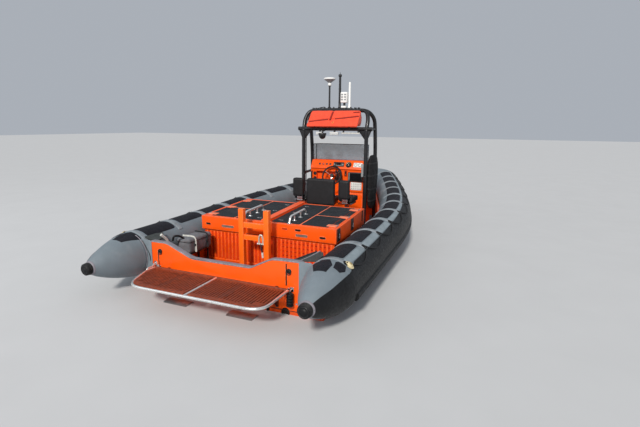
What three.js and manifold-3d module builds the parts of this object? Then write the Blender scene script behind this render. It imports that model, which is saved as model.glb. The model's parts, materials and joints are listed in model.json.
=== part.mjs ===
// Inshore rescue boat: a rigid deep-V hull with an inflatable collar, a raised
// engine box aft, three seats, a console under a tubular gantry, twin water
// jets and a folding stern platform.
// Millimetres. +X is forward, +Y is to port, +Z is up. The origin is on the
// centreline, in the plane of the transom's after face, at the waterline.
import * as THREE from 'three';
import { mergeVertices } from 'three/addons/utils/BufferGeometryUtils.js';
import { ParametricGeometry } from 'three/addons/geometries/ParametricGeometry.js';
import Module from 'manifold-3d';

const wasm = await Module();
wasm.setup();

// ---------------------------------------------------------------- dimensions
const GAP = 0.4;                 // clearance between pieces that touch

// inflatable collar
const TUBE_R = 250;              // collar radius
const TUBE_Y = 1200;             // half distance between the collar's centrelines
const TUBE_Z = 353;              // height of the centreline at the stern
const TUBE_RISE = 235;           // how much the centreline rises to the bow
const TUBE_POW = 1.74;           // how late it rises
const NOSE_R = 300;              // radius of the centreline round the stem
const TUBE_XB = 5989;            // centreline at the stem
const NOSE_X = TUBE_XB - NOSE_R;
// centreline in plan where it turns inboard: [x, y, slope]
const BOW = [[1500, 1200, 0], [2200, 1198, -0.045], [2800, 1150, -0.155], [3400, 1036, -0.228], [4000, 878, -0.290],
  [4600, 695, -0.318], [5100, 531, -0.337], [5791.4, 281.9, -0.364]];
const CONE_L = 545;              // length of the stern cones
const CAP_L = 62;                // length of the black caps on the cones

// hull and deck
const DECK_Z = 40;               // hull top under the deck panels
const DECK_T = 15;               // deck panel thickness
const FOREDECK_X = 4700;         // step up to the foredeck
const FOREDECK_Z = 300;          // foredeck height at the step
const IN_WALL = 275;             // hull inner wall, measured inboard of the collar's centreline

// transom
const TRANSOM_T = 45;
const TRANSOM_HALF = 915;
const CAPPING_T = 12;

// engine box
const BOX_X0 = 920, BOX_X1 = 2030;   // rim, aft and forward
const BOX_HALF = 915;                // rim half width
const BOX_INSET = 28;                // lower part stands in from the rim by this
const BOX_TOP = 645;                 // at the aft edge
const BOX_SLOPE = 0.04;              // the top, its lids and rails rise forward by this
const RIM_H = 165;                   // depth of the rim band
const BOX_T = 30;                    // wall thickness
const RIDGE_HALF = 42, RIDGE_Z = 672;
const LID_T = 28, LID_GAP = 6;

// engines
const ENG_L = 900, ENG_W = 540, ENG_H = 560, ENG_Y = 420;

// towing post
const POST_X = 690, POST_Y = 165, POST_W = 66, POST_TOP = 838;

// platform
const PLAT_Z = 272, PLAT_R = 15, PLAT_X0 = -62, PLAT_X1 = -573;

// jets
const JET_Y = 380, JET_Z = -165, JET_PIVOT_X = -208;

// gantry
const GT_R = 36;                                  // gantry tube radius
const AFT_X = 3290, AFT_Y = 550, BEAM_Z = 1730, BEAM_HALF = 645;
const FWD_X = 3740, FWD_Y = 585, HOOP_X = 3465, HOOP_Z = 2028;

// console
const CON_HALF = 505, CON_X = 3500;

// steering wheel
const WHEEL_C = [3368, 60, 945], WHEEL_R = 165, WHEEL_TILT = 28; // degrees above horizontal

// ---------------------------------------------------------------- helpers
const V = (x, y, z) => new THREE.Vector3(x, y, z);
const rad = THREE.MathUtils.degToRad;

function solid(g) {                       // closed three.js geometry -> solid
  g = g.clone();
  for (const a of Object.keys(g.attributes)) if (a !== 'position') g.deleteAttribute(a);
  g = mergeVertices(g, 1e-3);
  const p = g.attributes.position.array, ix = g.index.array, tri = [];
  for (let i = 0; i < ix.length; i += 3)
    if (ix[i] !== ix[i + 1] && ix[i + 1] !== ix[i + 2] && ix[i] !== ix[i + 2]) tri.push(ix[i], ix[i + 1], ix[i + 2]);
  const m = new wasm.Mesh({ numProp: 3, vertProperties: new Float32Array(p), triVerts: new Uint32Array(tri) });
  let s = new wasm.Manifold(m);
  if (s.volume() < 0) {
    const t = new Uint32Array(tri);
    for (let i = 0; i < t.length; i += 3) { const k = t[i]; t[i] = t[i + 1]; t[i + 1] = k; }
    s = new wasm.Manifold(new wasm.Mesh({ numProp: 3, vertProperties: new Float32Array(p), triVerts: t }));
  }
  return s;
}
function geometry(s) {                    // solid -> three.js geometry
  const m = s.getMesh(), g = new THREE.BufferGeometry();
  const n = m.numProp, v = new Float32Array(m.vertProperties.length / n * 3);
  for (let i = 0; i < v.length / 3; i++) for (let k = 0; k < 3; k++) v[3 * i + k] = m.vertProperties[n * i + k];
  g.setAttribute('position', new THREE.BufferAttribute(v, 3));
  g.setIndex(new THREE.BufferAttribute(new Uint32Array(m.triVerts), 1));
  return g;
}
const join = (...s) => s.slice(1).reduce((a, b) => a.add(b), s[0]);

function block(x0, x1, y0, y1, z0, z1) {
  const g = new THREE.BoxGeometry(x1 - x0, y1 - y0, z1 - z0);
  g.translate((x0 + x1) / 2, (y0 + y1) / 2, (z0 + z1) / 2);
  return solid(g);
}
// a block whose top and bottom rise forward with the top of the engine box
function sloped(x0, x1, y0, y1, z0, z1) {
  const g = new THREE.BoxGeometry(x1 - x0, y1 - y0, z1 - z0);
  g.translate((x0 + x1) / 2, (y0 + y1) / 2, (z0 + z1) / 2);
  g.applyMatrix4(new THREE.Matrix4().set(1, 0, 0, 0, 0, 1, 0, 0, BOX_SLOPE, 0, 1, -BOX_SLOPE * BOX_X0, 0, 0, 0, 1));
  return solid(g);
}
// a bar between two points: round, with n sides
function rod(a, b, r, n = 12, r2 = r) {
  const A = V(...a), B = V(...b), g = new THREE.CylinderGeometry(r2, r, A.distanceTo(B), n);
  g.applyQuaternion(new THREE.Quaternion().setFromUnitVectors(V(0, 1, 0), B.clone().sub(A).normalize()));
  const c = A.add(B).multiplyScalar(0.5);
  g.translate(c.x, c.y, c.z);
  return solid(g);
}
const shape2 = pts => new THREE.Shape(pts.map(p => new THREE.Vector2(p[0], p[1])));
// plan outline [x, y] from z0 to z1
function plan(pts, z0, z1) {
  const g = new THREE.ExtrudeGeometry(shape2(pts), { depth: z1 - z0, bevelEnabled: false });
  g.translate(0, 0, z0);
  return solid(g);
}
// side outline [x, z] from y0 to y1
function side(pts, y0, y1) {
  const g = new THREE.ExtrudeGeometry(shape2(pts.map(p => [p[0], p[1]])), { depth: y1 - y0, bevelEnabled: false });
  g.rotateX(Math.PI / 2);                  // shape y -> z, depth -> -y
  g.translate(0, y1, 0);
  return solid(g);
}
// cross outline [y, z] from x0 to x1
function cross(pts, x0, x1) {
  const g = new THREE.ExtrudeGeometry(shape2(pts.map(p => [p[0], p[1]])), { depth: x1 - x0, bevelEnabled: false });
  g.applyMatrix4(new THREE.Matrix4().set(0, 0, 1, x0, 1, 0, 0, 0, 0, 1, 0, 0, 0, 0, 0, 1));
  return solid(g);
}
// a route through corner points, each corner rounded to radius rr in k steps
function rounded(pts, rr, k = 4) {
  const P = pts.map(p => V(...p)), out = [P[0]];
  for (let i = 1; i < P.length - 1; i++) {
    const a = P[i - 1].clone().sub(P[i]), b = P[i + 1].clone().sub(P[i]);
    const r = Math.min(rr, a.length() * 0.49, b.length() * 0.49);
    const s = P[i].clone().addScaledVector(a.normalize(), r), e = P[i].clone().addScaledVector(b.normalize(), r);
    const q = new THREE.QuadraticBezierCurve3(s, P[i], e);
    for (let j = 0; j <= k; j++) out.push(q.getPoint(j / k));
  }
  out.push(P[P.length - 1]);
  return out;
}
// a curve whose steps fall exactly on its points
class Route extends THREE.Curve {
  constructor(points) { super(); this.points = points; }
  getPoint(t) {
    const n = this.points.length - 1, f = Math.min(Math.max(t, 0), 1) * n, i = Math.min(Math.floor(f), n - 1);
    return this.points[i].clone().lerp(this.points[i + 1], f - i);
  }
  getPointAt(u) { return this.getPoint(u); }
  getTangent(t) {
    const n = this.points.length - 1, d = 0.45 / n;
    return this.getPoint(Math.min(1, t + d)).sub(this.getPoint(Math.max(0, t - d))).normalize();
  }
  getTangentAt(u) { return this.getTangent(u); }
}
function pipe(points, r, n = 10) {
  const s = new THREE.Shape();
  for (let i = 0; i < n; i++) {
    const a = i / n * 2 * Math.PI;
    if (i) s.lineTo(r * Math.cos(a), r * Math.sin(a)); else s.moveTo(r, 0);
  }
  s.closePath();
  const pts = points.map(p => (p.isVector3 ? p : V(...p)));
  return solid(new THREE.ExtrudeGeometry(s, { steps: pts.length - 1, extrudePath: new Route(pts), bevelEnabled: false }));
}
// a turned piece: profile [radius, height] about an axis through c along dir
function turned(profile, c, dir = [0, 0, 1], n = 20) {
  const g = new THREE.LatheGeometry(profile.map(p => new THREE.Vector2(p[0], p[1])), n);
  g.applyQuaternion(new THREE.Quaternion().setFromUnitVectors(V(0, 1, 0), V(...dir).normalize()));
  g.translate(...c);
  return solid(g);
}
const mirrored = s => s.mirror([0, 1, 0]);

const group = new THREE.Group();
const MAT = {
  //                 colour, roughness, metalness
  orange:   [0xf0560f, 0.42, 0.0],
  grey_tube:[0x8b9299, 0.60, 0.0],
  black:    [0x17181b, 0.75, 0.0],
  rubber:   [0x1d1e22, 0.80, 0.0],
  deck:     [0x6d7073, 0.85, 0.0],
  capping:  [0x8f8a92, 0.55, 0.0],
  steel:    [0xd5d8da, 0.18, 1.0],
  grating:  [0x6e2a17, 0.70, 0.0],
  engine:   [0x9aa0a2, 0.50, 0.5],
  alloy:    [0xa9adb0, 0.40, 0.9],
  white:    [0xeeeeea, 0.40, 0.0],
  tint:     [0x6b7a85, 0.08, 0.0],
  fabric:   [0xe8411c, 0.85, 0.0],
  seat:     [0x1a1a1d, 0.62, 0.0],
};
function add(name, s, mat) {
  const [color, roughness, metalness] = MAT[mat];
  const m = new THREE.Mesh(geometry(s), new THREE.MeshStandardMaterial({ color, roughness, metalness }));
  m.name = name;
  group.add(m);
}

// ---------------------------------------------------------------- collar line
function yc(x) {
  if (x <= BOW[0][0]) return TUBE_Y;
  if (x >= BOW[BOW.length - 1][0]) return Math.sqrt(Math.max(0, NOSE_R ** 2 - (x - NOSE_X) ** 2));
  const i = BOW.findIndex(b => b[0] > x) - 1, [x0, y0, m0] = BOW[i], [x1, y1, m1] = BOW[i + 1], h = x1 - x0, t = (x - x0) / h;
  return (2 * t ** 3 - 3 * t ** 2 + 1) * y0 + (t ** 3 - 2 * t ** 2 + t) * h * m0 + (3 * t ** 2 - 2 * t ** 3) * y1 + (t ** 3 - t ** 2) * h * m1;
}
const zc = x => TUBE_Z + TUBE_RISE * Math.pow(Math.max(0, (x + 100) / (TUBE_XB + 100)), TUBE_POW);
const inward = x => {                    // unit vector in plan, towards the inside of the boat
  if (x >= BOW[BOW.length - 1][0]) return [-(x - NOSE_X) / NOSE_R, -yc(x) / NOSE_R];
  const d = (yc(x + 0.5) - yc(x - 0.5));
  const L = Math.hypot(1, d);
  return [d / L, -1 / L];
};
// stations along the collar, closer together where it turns
const TUBE_ST = [0, 800, 1500, 2200, 2800, 3400, 4000, 4600, 5100, 5500, 5791.4, 5882, 5949, 5982, TUBE_XB];
const collarPoint = x => V(x, yc(x), zc(x));

// collar, port half: ring sections along the line, then the stern cone
//   cone: [aft of the transom plane, radius]
const CONE = [[CONE_L, 61], [470, 108], [360, 159], [230, 205], [110, 236]];
function collar() {
  const rings = [];                      // {c, r, n (inward in plan)}
  for (const [d, r] of CONE) rings.push({ c: V(-d, TUBE_Y, TUBE_Z), r, n: [0, -1] });
  for (const x of TUBE_ST) rings.push({ c: collarPoint(x), r: TUBE_R, n: inward(x) });
  rings.push({ c: V(TUBE_XB, -60, zc(TUBE_XB)), r: TUBE_R, n: [-1, 0] });
  const N = 18, M = rings.length + 1;    // one flat end at each end
  const g = new ParametricGeometry((u, v, t) => {
    const k = Math.round(v * M) - 1, q = rings[Math.min(Math.max(k, 0), rings.length - 1)];
    if (k < 0 || k >= rings.length) { t.copy(q.c); return; }
    const a = (Math.round(u * N) % N) / N * 2 * Math.PI;
    t.set(q.c.x + q.r * Math.cos(a) * q.n[0], q.c.y + q.r * Math.cos(a) * q.n[1], q.c.z + q.r * Math.sin(a));
  }, N, M);
  return solid(g).subtract(block(-2000, 9000, -3000, GAP / 2, -2000, 3000));
}
const collarPort = collar();
add('tube_port', collarPort, 'grey_tube');
add('tube_starboard', mirrored(collarPort), 'grey_tube');

// caps on the cones: [radius, length from the cone]
const CAP = [[0, 0], [61, 0], [63, 8], [61, 34], [50, 52], [32, 60], [0, CAP_L]];
const cap = turned(CAP, [-CONE_L - GAP, TUBE_Y, TUBE_Z], [-1, 0, 0], 18);
add('tube_end_cap_port', cap, 'rubber');
add('tube_end_cap_starboard', mirrored(cap), 'rubber');

// rubbing strake along the outer side of the collar
const STRAKE_H = 46, STRAKE_T = 26, STRAKE_DROP = 70;
function strake() {
  const st = TUBE_ST.filter(x => x <= 5882), rings = [];
  for (const x of st) {
    const n = inward(x), c = collarPoint(x);
    const base = Math.sqrt(TUBE_R ** 2 - STRAKE_DROP ** 2) + 1.5;
    rings.push([[base, -STRAKE_DROP - STRAKE_H + 12], [base + STRAKE_T - 6, -STRAKE_DROP - STRAKE_H / 2], [base + STRAKE_T, -STRAKE_DROP],
      [base + STRAKE_T - 6, -STRAKE_DROP + STRAKE_H / 2], [base, -STRAKE_DROP + STRAKE_H - 12], [base - 9, -STRAKE_DROP]].map(([o, h]) => V(c.x - n[0] * o, c.y - n[1] * o, c.z + h)));
  }
  const N = 6, M = rings.length + 1;
  const g = new ParametricGeometry((u, v, t) => {
    const k = Math.round(v * M) - 1, q = rings[Math.min(Math.max(k, 0), rings.length - 1)];
    if (k < 0 || k >= rings.length) { t.copy(q[0]).lerp(q[4], 0.5); return; }
    t.copy(q[Math.round(u * N) % N]);
  }, N, M);
  return solid(g);
}
// the collar is facetted, so the strake is cut by a slightly fatter collar
function fatCollar(extra) {
  const rings = [];
  for (const x of [-60, ...TUBE_ST.slice(1)]) rings.push({ c: x < 0 ? V(-60, TUBE_Y, TUBE_Z) : collarPoint(x), r: TUBE_R + extra, n: inward(Math.max(x, 0)) });
  rings.push({ c: V(TUBE_XB, -60, zc(TUBE_XB)), r: TUBE_R + extra, n: [-1, 0] });
  const N = 18, M = rings.length + 1;
  return solid(new ParametricGeometry((u, v, t) => {
    const k = Math.round(v * M) - 1, q = rings[Math.min(Math.max(k, 0), rings.length - 1)];
    if (k < 0 || k >= rings.length) { t.copy(q.c); return; }
    const a = (Math.round(u * N) % N) / N * 2 * Math.PI;
    t.set(q.c.x + q.r * Math.cos(a) * q.n[0], q.c.y + q.r * Math.cos(a) * q.n[1], q.c.z + q.r * Math.sin(a));
  }, N, M));
}
const collarCut = fatCollar(GAP + 0.3);
const strakePort = strake().subtract(collarCut);
add('rubbing_strake_port', strakePort, 'rubber');
add('rubbing_strake_starboard', mirrored(strakePort), 'rubber');

// ---------------------------------------------------------------- hull
// stations: x on the collar line, keel height, chine height, top of the hull inside
const HULL = [
  // x     keel  chine   top
  [-60,   -450,    0,  DECK_Z],
  [1500,  -450,    5,  DECK_Z],
  [2200,  -450,   14,  DECK_Z],
  [2800,  -448,   30,  DECK_Z],
  [3400,  -440,   50,  DECK_Z],
  [4000,  -420,   75,  DECK_Z],
  [FOREDECK_X - 15, -368, 102, DECK_Z],
  [FOREDECK_X + 15, -366, 104, FOREDECK_Z],
  [5100,  -285,  160,  FOREDECK_Z + 30],
  [5500,  -130,  230,  FOREDECK_Z + 30],
  [5791.4,  60,  288,  FOREDECK_Z + 50],
  [5882,   140,  306,  FOREDECK_Z + 60],
  [5949,   205,  320,  FOREDECK_Z + 70],
  [TUBE_XB, 255, 330,  FOREDECK_Z + 80],
];
function hullSection([x, keel, chine, top]) {
  const [nx, ny] = inward(Math.max(x, 0)), cx = x, cy = yc(x), cz = zc(Math.max(x, 0));
  const at = (d, z) => [cx + nx * d, Math.max(0, cy + ny * d), z];
  const q = 262, c20 = Math.cos(rad(20)), s20 = Math.sin(rad(20)), c45 = Math.SQRT1_2;
  const half = [
    at(165, chine - 28),                 // inner edge of the chine flat
    at(62, chine),                       // chine
    at(q * c45, cz - q * c45),           // under the collar
    at(q * c20, cz - q * s20),           // edge of the gunwale
    at(IN_WALL, cz - q * s20),           // inner edge of the gunwale
    at(IN_WALL, top),                    // foot of the inner wall
  ];
  const keelX = x >= TUBE_XB - 1 ? x - 100 : (x > 5200 ? half[0][0] * 0.35 + x * 0.65 : x);
  const ring = [[keelX, 0, keel], ...half, [half[5][0], 0, top], ...half.slice().reverse().map(p => [p[0], -p[1], p[2]])];
  return ring.map(p => V(...p));
}
const hullRings = HULL.map(hullSection);
const HN = hullRings[0].length;
const hullGeo = new ParametricGeometry((u, v, t) => {
  const M = hullRings.length, k = Math.round(v * M) - 1;
  if (k < 0) { t.set(-60, 0, -60); return; }
  t.copy(hullRings[k][Math.round(u * HN) % HN]);
}, HN, hullRings.length);
const ENGINE_BAY = [975, 1985, -790, 790, -60, 200];
let hull = solid(hullGeo)
  .subtract(block(-500, 0, -3000, 3000, -2000, 2000))
  .subtract(block(...ENGINE_BAY))
  .subtract(collarCut).subtract(mirrored(collarCut));
add('hull', hull, 'orange');

// deck panels inside the hull, with the engine bay left open
const deckEdge = [];
for (const x of [TRANSOM_T + 2, 1500, 2200, 2800, 3400, 4000]) {
  const [nx, ny] = inward(x);
  deckEdge.push([x + nx * (IN_WALL + 6), yc(x) + ny * (IN_WALL + 6)]);
}
{ // last edge point at the step of the foredeck
  const x = FOREDECK_X - 15, [nx, ny] = inward(x);
  deckEdge.push([x + nx * (IN_WALL + 6) - 12, yc(x) + ny * (IN_WALL + 6)]);
}
const deckOutline = [...deckEdge, ...deckEdge.slice().reverse().map(([x, y]) => [x, -y])];
const DECK_TOP = DECK_Z + GAP + DECK_T;
add('deck', plan(deckOutline, DECK_Z + GAP, DECK_TOP).subtract(block(ENGINE_BAY[0], ENGINE_BAY[1], ENGINE_BAY[2], ENGINE_BAY[3], 0, 200)), 'deck');

// ---------------------------------------------------------------- transom
// top edge from port to starboard: [y, z]; the ramp is steeper on the starboard side
const TOP_EDGE = [[TRANSOM_HALF, 522], [885, 532], [690, 532], [650, 521], [388, 415], [340, 403],
  [-340, 403], [-374, 413], [-568, 511], [-606, 522], [-700, 529], [-885, 532], [-TRANSOM_HALF, 522]];
add('transom', cross([[-TRANSOM_HALF, DECK_Z + GAP], [TRANSOM_HALF, DECK_Z + GAP], ...TOP_EDGE], 0, TRANSOM_T), 'orange');
const capLine = TOP_EDGE.map(([y, z]) => [y, z + GAP]);
const capTop = TOP_EDGE.map(([y, z]) => [y, z + GAP + CAPPING_T]).reverse();
add('transom_capping', cross([...capLine.slice().reverse(), ...capTop.slice().reverse()], -5, 58), 'capping');

// ---------------------------------------------------------------- engine box
const boxFloor = DECK_TOP + GAP;
const rimZ = BOX_TOP - RIM_H, inX0 = BOX_X0 + BOX_INSET, inX1 = BOX_X1 - 6, inHalf = BOX_HALF - BOX_INSET;
const rimInX0 = BOX_X0 + 32, rimInX1 = BOX_X1 - 32, rimInHalf = BOX_HALF - 30;
let box = join(
  block(inX0, inX1, -inHalf, inHalf, boxFloor, rimZ + 5),
  block(BOX_X0, BOX_X1, -BOX_HALF, BOX_HALF, rimZ, BOX_TOP - 80),
  sloped(BOX_X0, BOX_X1, -BOX_HALF, BOX_HALF, rimZ + 30, BOX_TOP),
)
  .subtract(block(inX0 + BOX_T, inX1 - BOX_T, -inHalf + BOX_T, inHalf - BOX_T, boxFloor - 10, BOX_TOP - 70))
  .subtract(block(rimInX0 + 22, rimInX1 - 22, -rimInHalf + 22, rimInHalf - 22, BOX_TOP - 75, BOX_TOP - 30))
  .subtract(sloped(rimInX0 + 22, rimInX1 - 22, -rimInHalf + 22, rimInHalf - 22, BOX_TOP - 80, BOX_TOP + 5))
  .subtract(sloped(rimInX0, rimInX1, -rimInHalf, rimInHalf, BOX_TOP - LID_T - LID_GAP, BOX_TOP + 5));
box = join(box, sloped(BOX_X0 + 1, BOX_X1 - 1, -RIDGE_HALF, RIDGE_HALF, BOX_TOP - 90, RIDGE_Z));
add('engine_box', box, 'orange');

// lids, hinged on their outboard edges
const lidX0 = rimInX0 + LID_GAP, lidX1 = rimInX1 - LID_GAP, lidY0 = RIDGE_HALF + LID_GAP, lidY1 = rimInHalf - LID_GAP;
const lid = sloped(lidX0, lidX1, lidY0, lidY1, BOX_TOP - LID_T, BOX_TOP);
add('engine_lid_port', lid, 'orange');
add('engine_lid_starboard', mirrored(lid), 'orange');

// handrail on each lid: [x, y, z] of the bend points, then the two middle uprights
const RAIL_R = 12, RAIL_TOP = BOX_TOP + 80, RAIL_Y = 310;
const rise = x => BOX_SLOPE * (x - BOX_X0);
const railPath = rounded([[968, BOX_TOP - 5], [1000, RAIL_TOP], [1420, RAIL_TOP], [1452, BOX_TOP - 5]].map(([x, z]) => [x, RAIL_Y, z + rise(x)]), 48, 3);
const rail = join(pipe(railPath, RAIL_R, 8),
  ...[1110, 1285].map(x => rod([x, RAIL_Y, BOX_TOP - 5 + rise(x)], [x, RAIL_Y, RAIL_TOP + rise(x)], RAIL_R - 2, 8)));
// feet cut level with the lid
const railCut = sloped(800, 2000, 100, 600, BOX_TOP - 60, BOX_TOP + GAP);
add('lid_handrail_port', rail.subtract(railCut), 'steel');
add('lid_handrail_starboard', mirrored(rail.subtract(railCut)), 'steel');

// engines: one plain block each
const engX = (ENGINE_BAY[0] + ENGINE_BAY[1]) / 2;
for (const [name, s] of [['port', 1], ['starboard', -1]])
  add('engine_' + name, block(engX - ENG_L / 2, engX + ENG_L / 2, s * ENG_Y - ENG_W / 2, s * ENG_Y + ENG_W / 2, ENGINE_BAY[4] + GAP, ENGINE_BAY[4] + GAP + ENG_H), 'engine');

// ---------------------------------------------------------------- towing post
const postBars = [[620, 680], [477, 533]];      // cross bars: bottom, top
let tow = join(
  ...[1, -1].map(s => block(POST_X - POST_W / 2, POST_X + POST_W / 2, s * POST_Y - POST_W / 2, s * POST_Y + POST_W / 2, boxFloor, POST_TOP)),
  ...postBars.map(([a, b]) => block(POST_X - 20, POST_X + 20, -POST_Y, POST_Y, a, b)),
);
add('tow_post', tow, 'orange');

// ---------------------------------------------------------------- stern platform
// outline of the rim tube from port to starboard: [x, y]; the port side is cut away more than the starboard one
const RIM = [[PLAT_X0, 800], [-200, 800], [-470, 703], [PLAT_X1 - 2, 640], [PLAT_X1 - 2, 520], [PLAT_X1 + 4, -640], [PLAT_X1 + 4, -800], [PLAT_X0, -800]];
const rimPts = rounded(RIM.map(([x, y]) => [x, y, PLAT_Z]), 130, 3);
let platformFrame = join(
  pipe(rimPts, PLAT_R, 10),
  rod([PLAT_X0, -800, PLAT_Z], [PLAT_X0, 800, PLAT_Z], PLAT_R, 10),
  rod([PLAT_X0, 0, PLAT_Z], [PLAT_X1, 0, PLAT_Z], PLAT_R, 10),
  // bearers under the gratings
  ...[[-230, 770], [-400, 715]].map(([x, y]) => block(x - 15, x + 15, -795, y, PLAT_Z - 14, PLAT_Z - 6)),
  block(PLAT_X1 + 4, PLAT_X0, 330, 360, PLAT_Z - 14, PLAT_Z - 6),
  block(PLAT_X1 + 4, PLAT_X0, -360, -330, PLAT_Z - 14, PLAT_Z - 6),
);
add('platform_frame', platformFrame, 'steel');
// gratings: slats that run fore and aft, with slots between: [first slot y, number, fore end, aft end]
const SLOT_PITCH = 30, SLOT_W = 12, SLOT_FORE = -126;
const SLOTS = [[50, 9, -505], [380, 6, -505]];
const OUTER_SLOTS = { port: [[560, 3, -470], [650, 2, -390], [710, 1, -300]], starboard: [[560, 4, -490], [680, 3, -440]] };
const GRATE = {
  port: [[PLAT_X0 - 36, 24], [PLAT_X0 - 36, 772], [-204, 772], [-461, 679], [-536, 622], [PLAT_X1 + 24, 545], [PLAT_X1 + 24, 24]],
  starboard: [[PLAT_X0 - 36, 24], [PLAT_X0 - 36, 772], [-470, 772], [-524, 738], [PLAT_X1 + 30, 676], [PLAT_X1 + 30, 24]],
};
for (const side of ['port', 'starboard']) {
  let slots = null;
  for (const [y0, n, xa] of [...SLOTS, ...OUTER_SLOTS[side]]) {
    for (let i = 0; i < n; i++) {
      const b = block(xa, SLOT_FORE, y0 + i * SLOT_PITCH, y0 + i * SLOT_PITCH + SLOT_W, PLAT_Z - 40, PLAT_Z + 60);
      slots = slots ? slots.add(b) : b;
    }
  }
  const grate = plan(GRATE[side], PLAT_Z - 6 + GAP, PLAT_Z + 14).subtract(slots);
  add('platform_grating_' + side, side === 'port' ? grate : mirrored(grate), 'grating');
}
// fixed stays under the platform, bolted to the transom
// with a saddle under the platform's forward tube, which is its hinge pin
const stay = join(
  side([[-0.5, 60], [-0.5, PLAT_Z], [PLAT_X0 - 27, PLAT_Z], [PLAT_X0 - 27, 250], [-330, 250], [-330, 242], [-30, 90], [-14, 60]], 640, 668),
).subtract(rod([PLAT_X0, 600, PLAT_Z], [PLAT_X0, 700, PLAT_Z], PLAT_R + 2, 20));
add('platform_stay_port', stay, 'black');
add('platform_stay_starboard', mirrored(stay), 'black');

// ---------------------------------------------------------------- water jets
// housing profile: [radius, distance aft of the transom]
const JET = [[0, 0], [122, 0], [122, 20], [100, 28], [94, 110], [80, 160], [0, 160]];
const BUCKET_PIVOT = [JET_PIVOT_X + 8, JET_Z + 28];     // x, z
const ARM_Y = 118, LUG_Z = 82;
function jetHousing(s) {
  const y = s * JET_Y;
  let h = turned(JET, [-GAP, y, JET_Z], [-1, 0, 0], 20);
  // arms that carry the bucket, and lugs above and below for the nozzle
  for (const a of [1, -1]) {
    h = h.add(block(-236, -120, y + a * ARM_Y - 8, y + a * ARM_Y + 8, JET_Z - 12, JET_Z + 55));
    h = h.add(block(-150, -118, Math.min(y + a * 76, y + a * 126), Math.max(y + a * 76, y + a * 126), JET_Z - 12, JET_Z + 40));
    h = h.add(block(-224, -138, y - 22, y + 22, JET_Z + a * LUG_Z - 8, JET_Z + a * LUG_Z + 8));
  }
  // outlet bore
  return h.subtract(rod([-80, y, JET_Z], [-230, y, JET_Z], 60, 16));
}
// nozzle: hollow, [radius, distance aft of its pivot plane]
const NOZ = [[58, -8], [68, -8], [68, 14], [52, 115], [43, 115], [56, 8], [58, -8]];
const nozzle = s => turned(NOZ, [JET_PIVOT_X, s * JET_Y, JET_Z], [-1, 0, 0], 20);
// reversing bucket, stowed above the nozzle: two cheeks and a curved plate, by angle above the aft horizontal
const BUCKET_R = [145, 155], BUCKET_A = [50, 70, 91, 112], CHEEK_Y = 139;
function bucket(s) {
  const [px, pz] = BUCKET_PIVOT;
  const at = (r, a) => [px - r * Math.cos(rad(a)), pz + r * Math.sin(rad(a))];
  const plate = [...BUCKET_A.map(a => at(BUCKET_R[0], a)), ...BUCKET_A.slice().reverse().map(a => at(BUCKET_R[1], a))];
  const cheek = [...BUCKET_A.map(a => at(BUCKET_R[1] - 1, a)), at(70, 118), at(24, 150), at(24, 230), at(24, 320), at(60, 42)];
  return join(...[1, -1].map(a => side(cheek, s * JET_Y + a * CHEEK_Y - 6, s * JET_Y + a * CHEEK_Y + 6)),
    side(plate, s * JET_Y - CHEEK_Y, s * JET_Y + CHEEK_Y));
}
for (const [name, s] of [['port', 1], ['starboard', -1]]) {
  add('jet_unit_' + name, jetHousing(s), 'alloy');
  add('jet_nozzle_' + name, nozzle(s), 'alloy');
  add('jet_bucket_' + name, bucket(s), 'alloy');
}

// ---------------------------------------------------------------- console
// side outline: [x, z]
const CON_TOP = [[CON_X - 4, 1072], [CON_X + 75, 1188], [CON_X + 130, 1196], [3930, 1168], [4010, 1110]];
const CON = [[CON_X, boxFloor], [CON_X, 1030], [CON_X - 12, 1050], ...CON_TOP, [4200, boxFloor]];
const CON_PLAN = [[3400, -CON_HALF], [3780, -CON_HALF], [4220, -395], [4220, 395], [3780, CON_HALF], [3400, CON_HALF]];
let con = side(CON, -CON_HALF, CON_HALF)
  .intersect(plan(CON_PLAN, -200, 1500))
  // knee recess in front of the wheel and the small recessed panel to starboard
  .subtract(block(CON_X - 20, CON_X + 70, -60, 400, 560, 1000))
  .subtract(block(CON_X - 20, CON_X + 25, -470, -195, 150, 665));
con = con.add(rod([CON_X + 80, WHEEL_C[1], 1004 - 80 * Math.tan(rad(WHEEL_TILT)) - 42], [WHEEL_C[0] + 30, WHEEL_C[1], WHEEL_C[2] - 30 * Math.tan(rad(WHEEL_TILT))], 26, 12));
add('console', con, 'orange');

// tinted windscreen round the front of the console top: plan line, 6 thick
const SCREEN = [[3578, 497], [3690, 490], [3755, 445], [3785, 300]];
const outer = [...SCREEN, ...SCREEN.slice().reverse().map(([x, y]) => [x, -y])];
const innerLine = [[3578, 491], [3687, 484], [3750, 441], [3779, 300]];
const inner = [...innerLine, ...innerLine.slice().reverse().map(([x, y]) => [x, -y])].reverse();
add('windscreen', plan([...outer, ...inner], 1140, 1462).subtract(side([[3480, 1000], ...CON_TOP.map(([x, z]) => [x, z + GAP]), [4010, 1000]], -600, 600)), 'tint');

// steering wheel: rim, three spokes and hub, about an axis that leans back
const wheelAxis = V(-Math.cos(rad(WHEEL_TILT)), 0, Math.sin(rad(WHEEL_TILT)));
{
  const ring = new THREE.LatheGeometry(Array.from({ length: 9 }, (_, i) => new THREE.Vector2(WHEEL_R + 14 * Math.cos(i / 8 * 2 * Math.PI), 14 * Math.sin(i / 8 * 2 * Math.PI))), 28);
  let w = join(solid(ring), solid(new THREE.CylinderGeometry(32, 34, 34, 14)),
    ...[90, 210, 330].map(a => {
      const g = new THREE.BoxGeometry(WHEEL_R - 10, 8, 26);
      g.translate((WHEEL_R - 10) / 2 + 8, 0, 0); g.rotateY(rad(a));
      return solid(g);
    }));
  const g = geometry(w);
  g.applyQuaternion(new THREE.Quaternion().setFromUnitVectors(V(0, 1, 0), wheelAxis));
  g.translate(...WHEEL_C);
  // back off along the axis so that the hub clears the column
  add('steering_wheel', solid(g), 'black');
}

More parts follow.
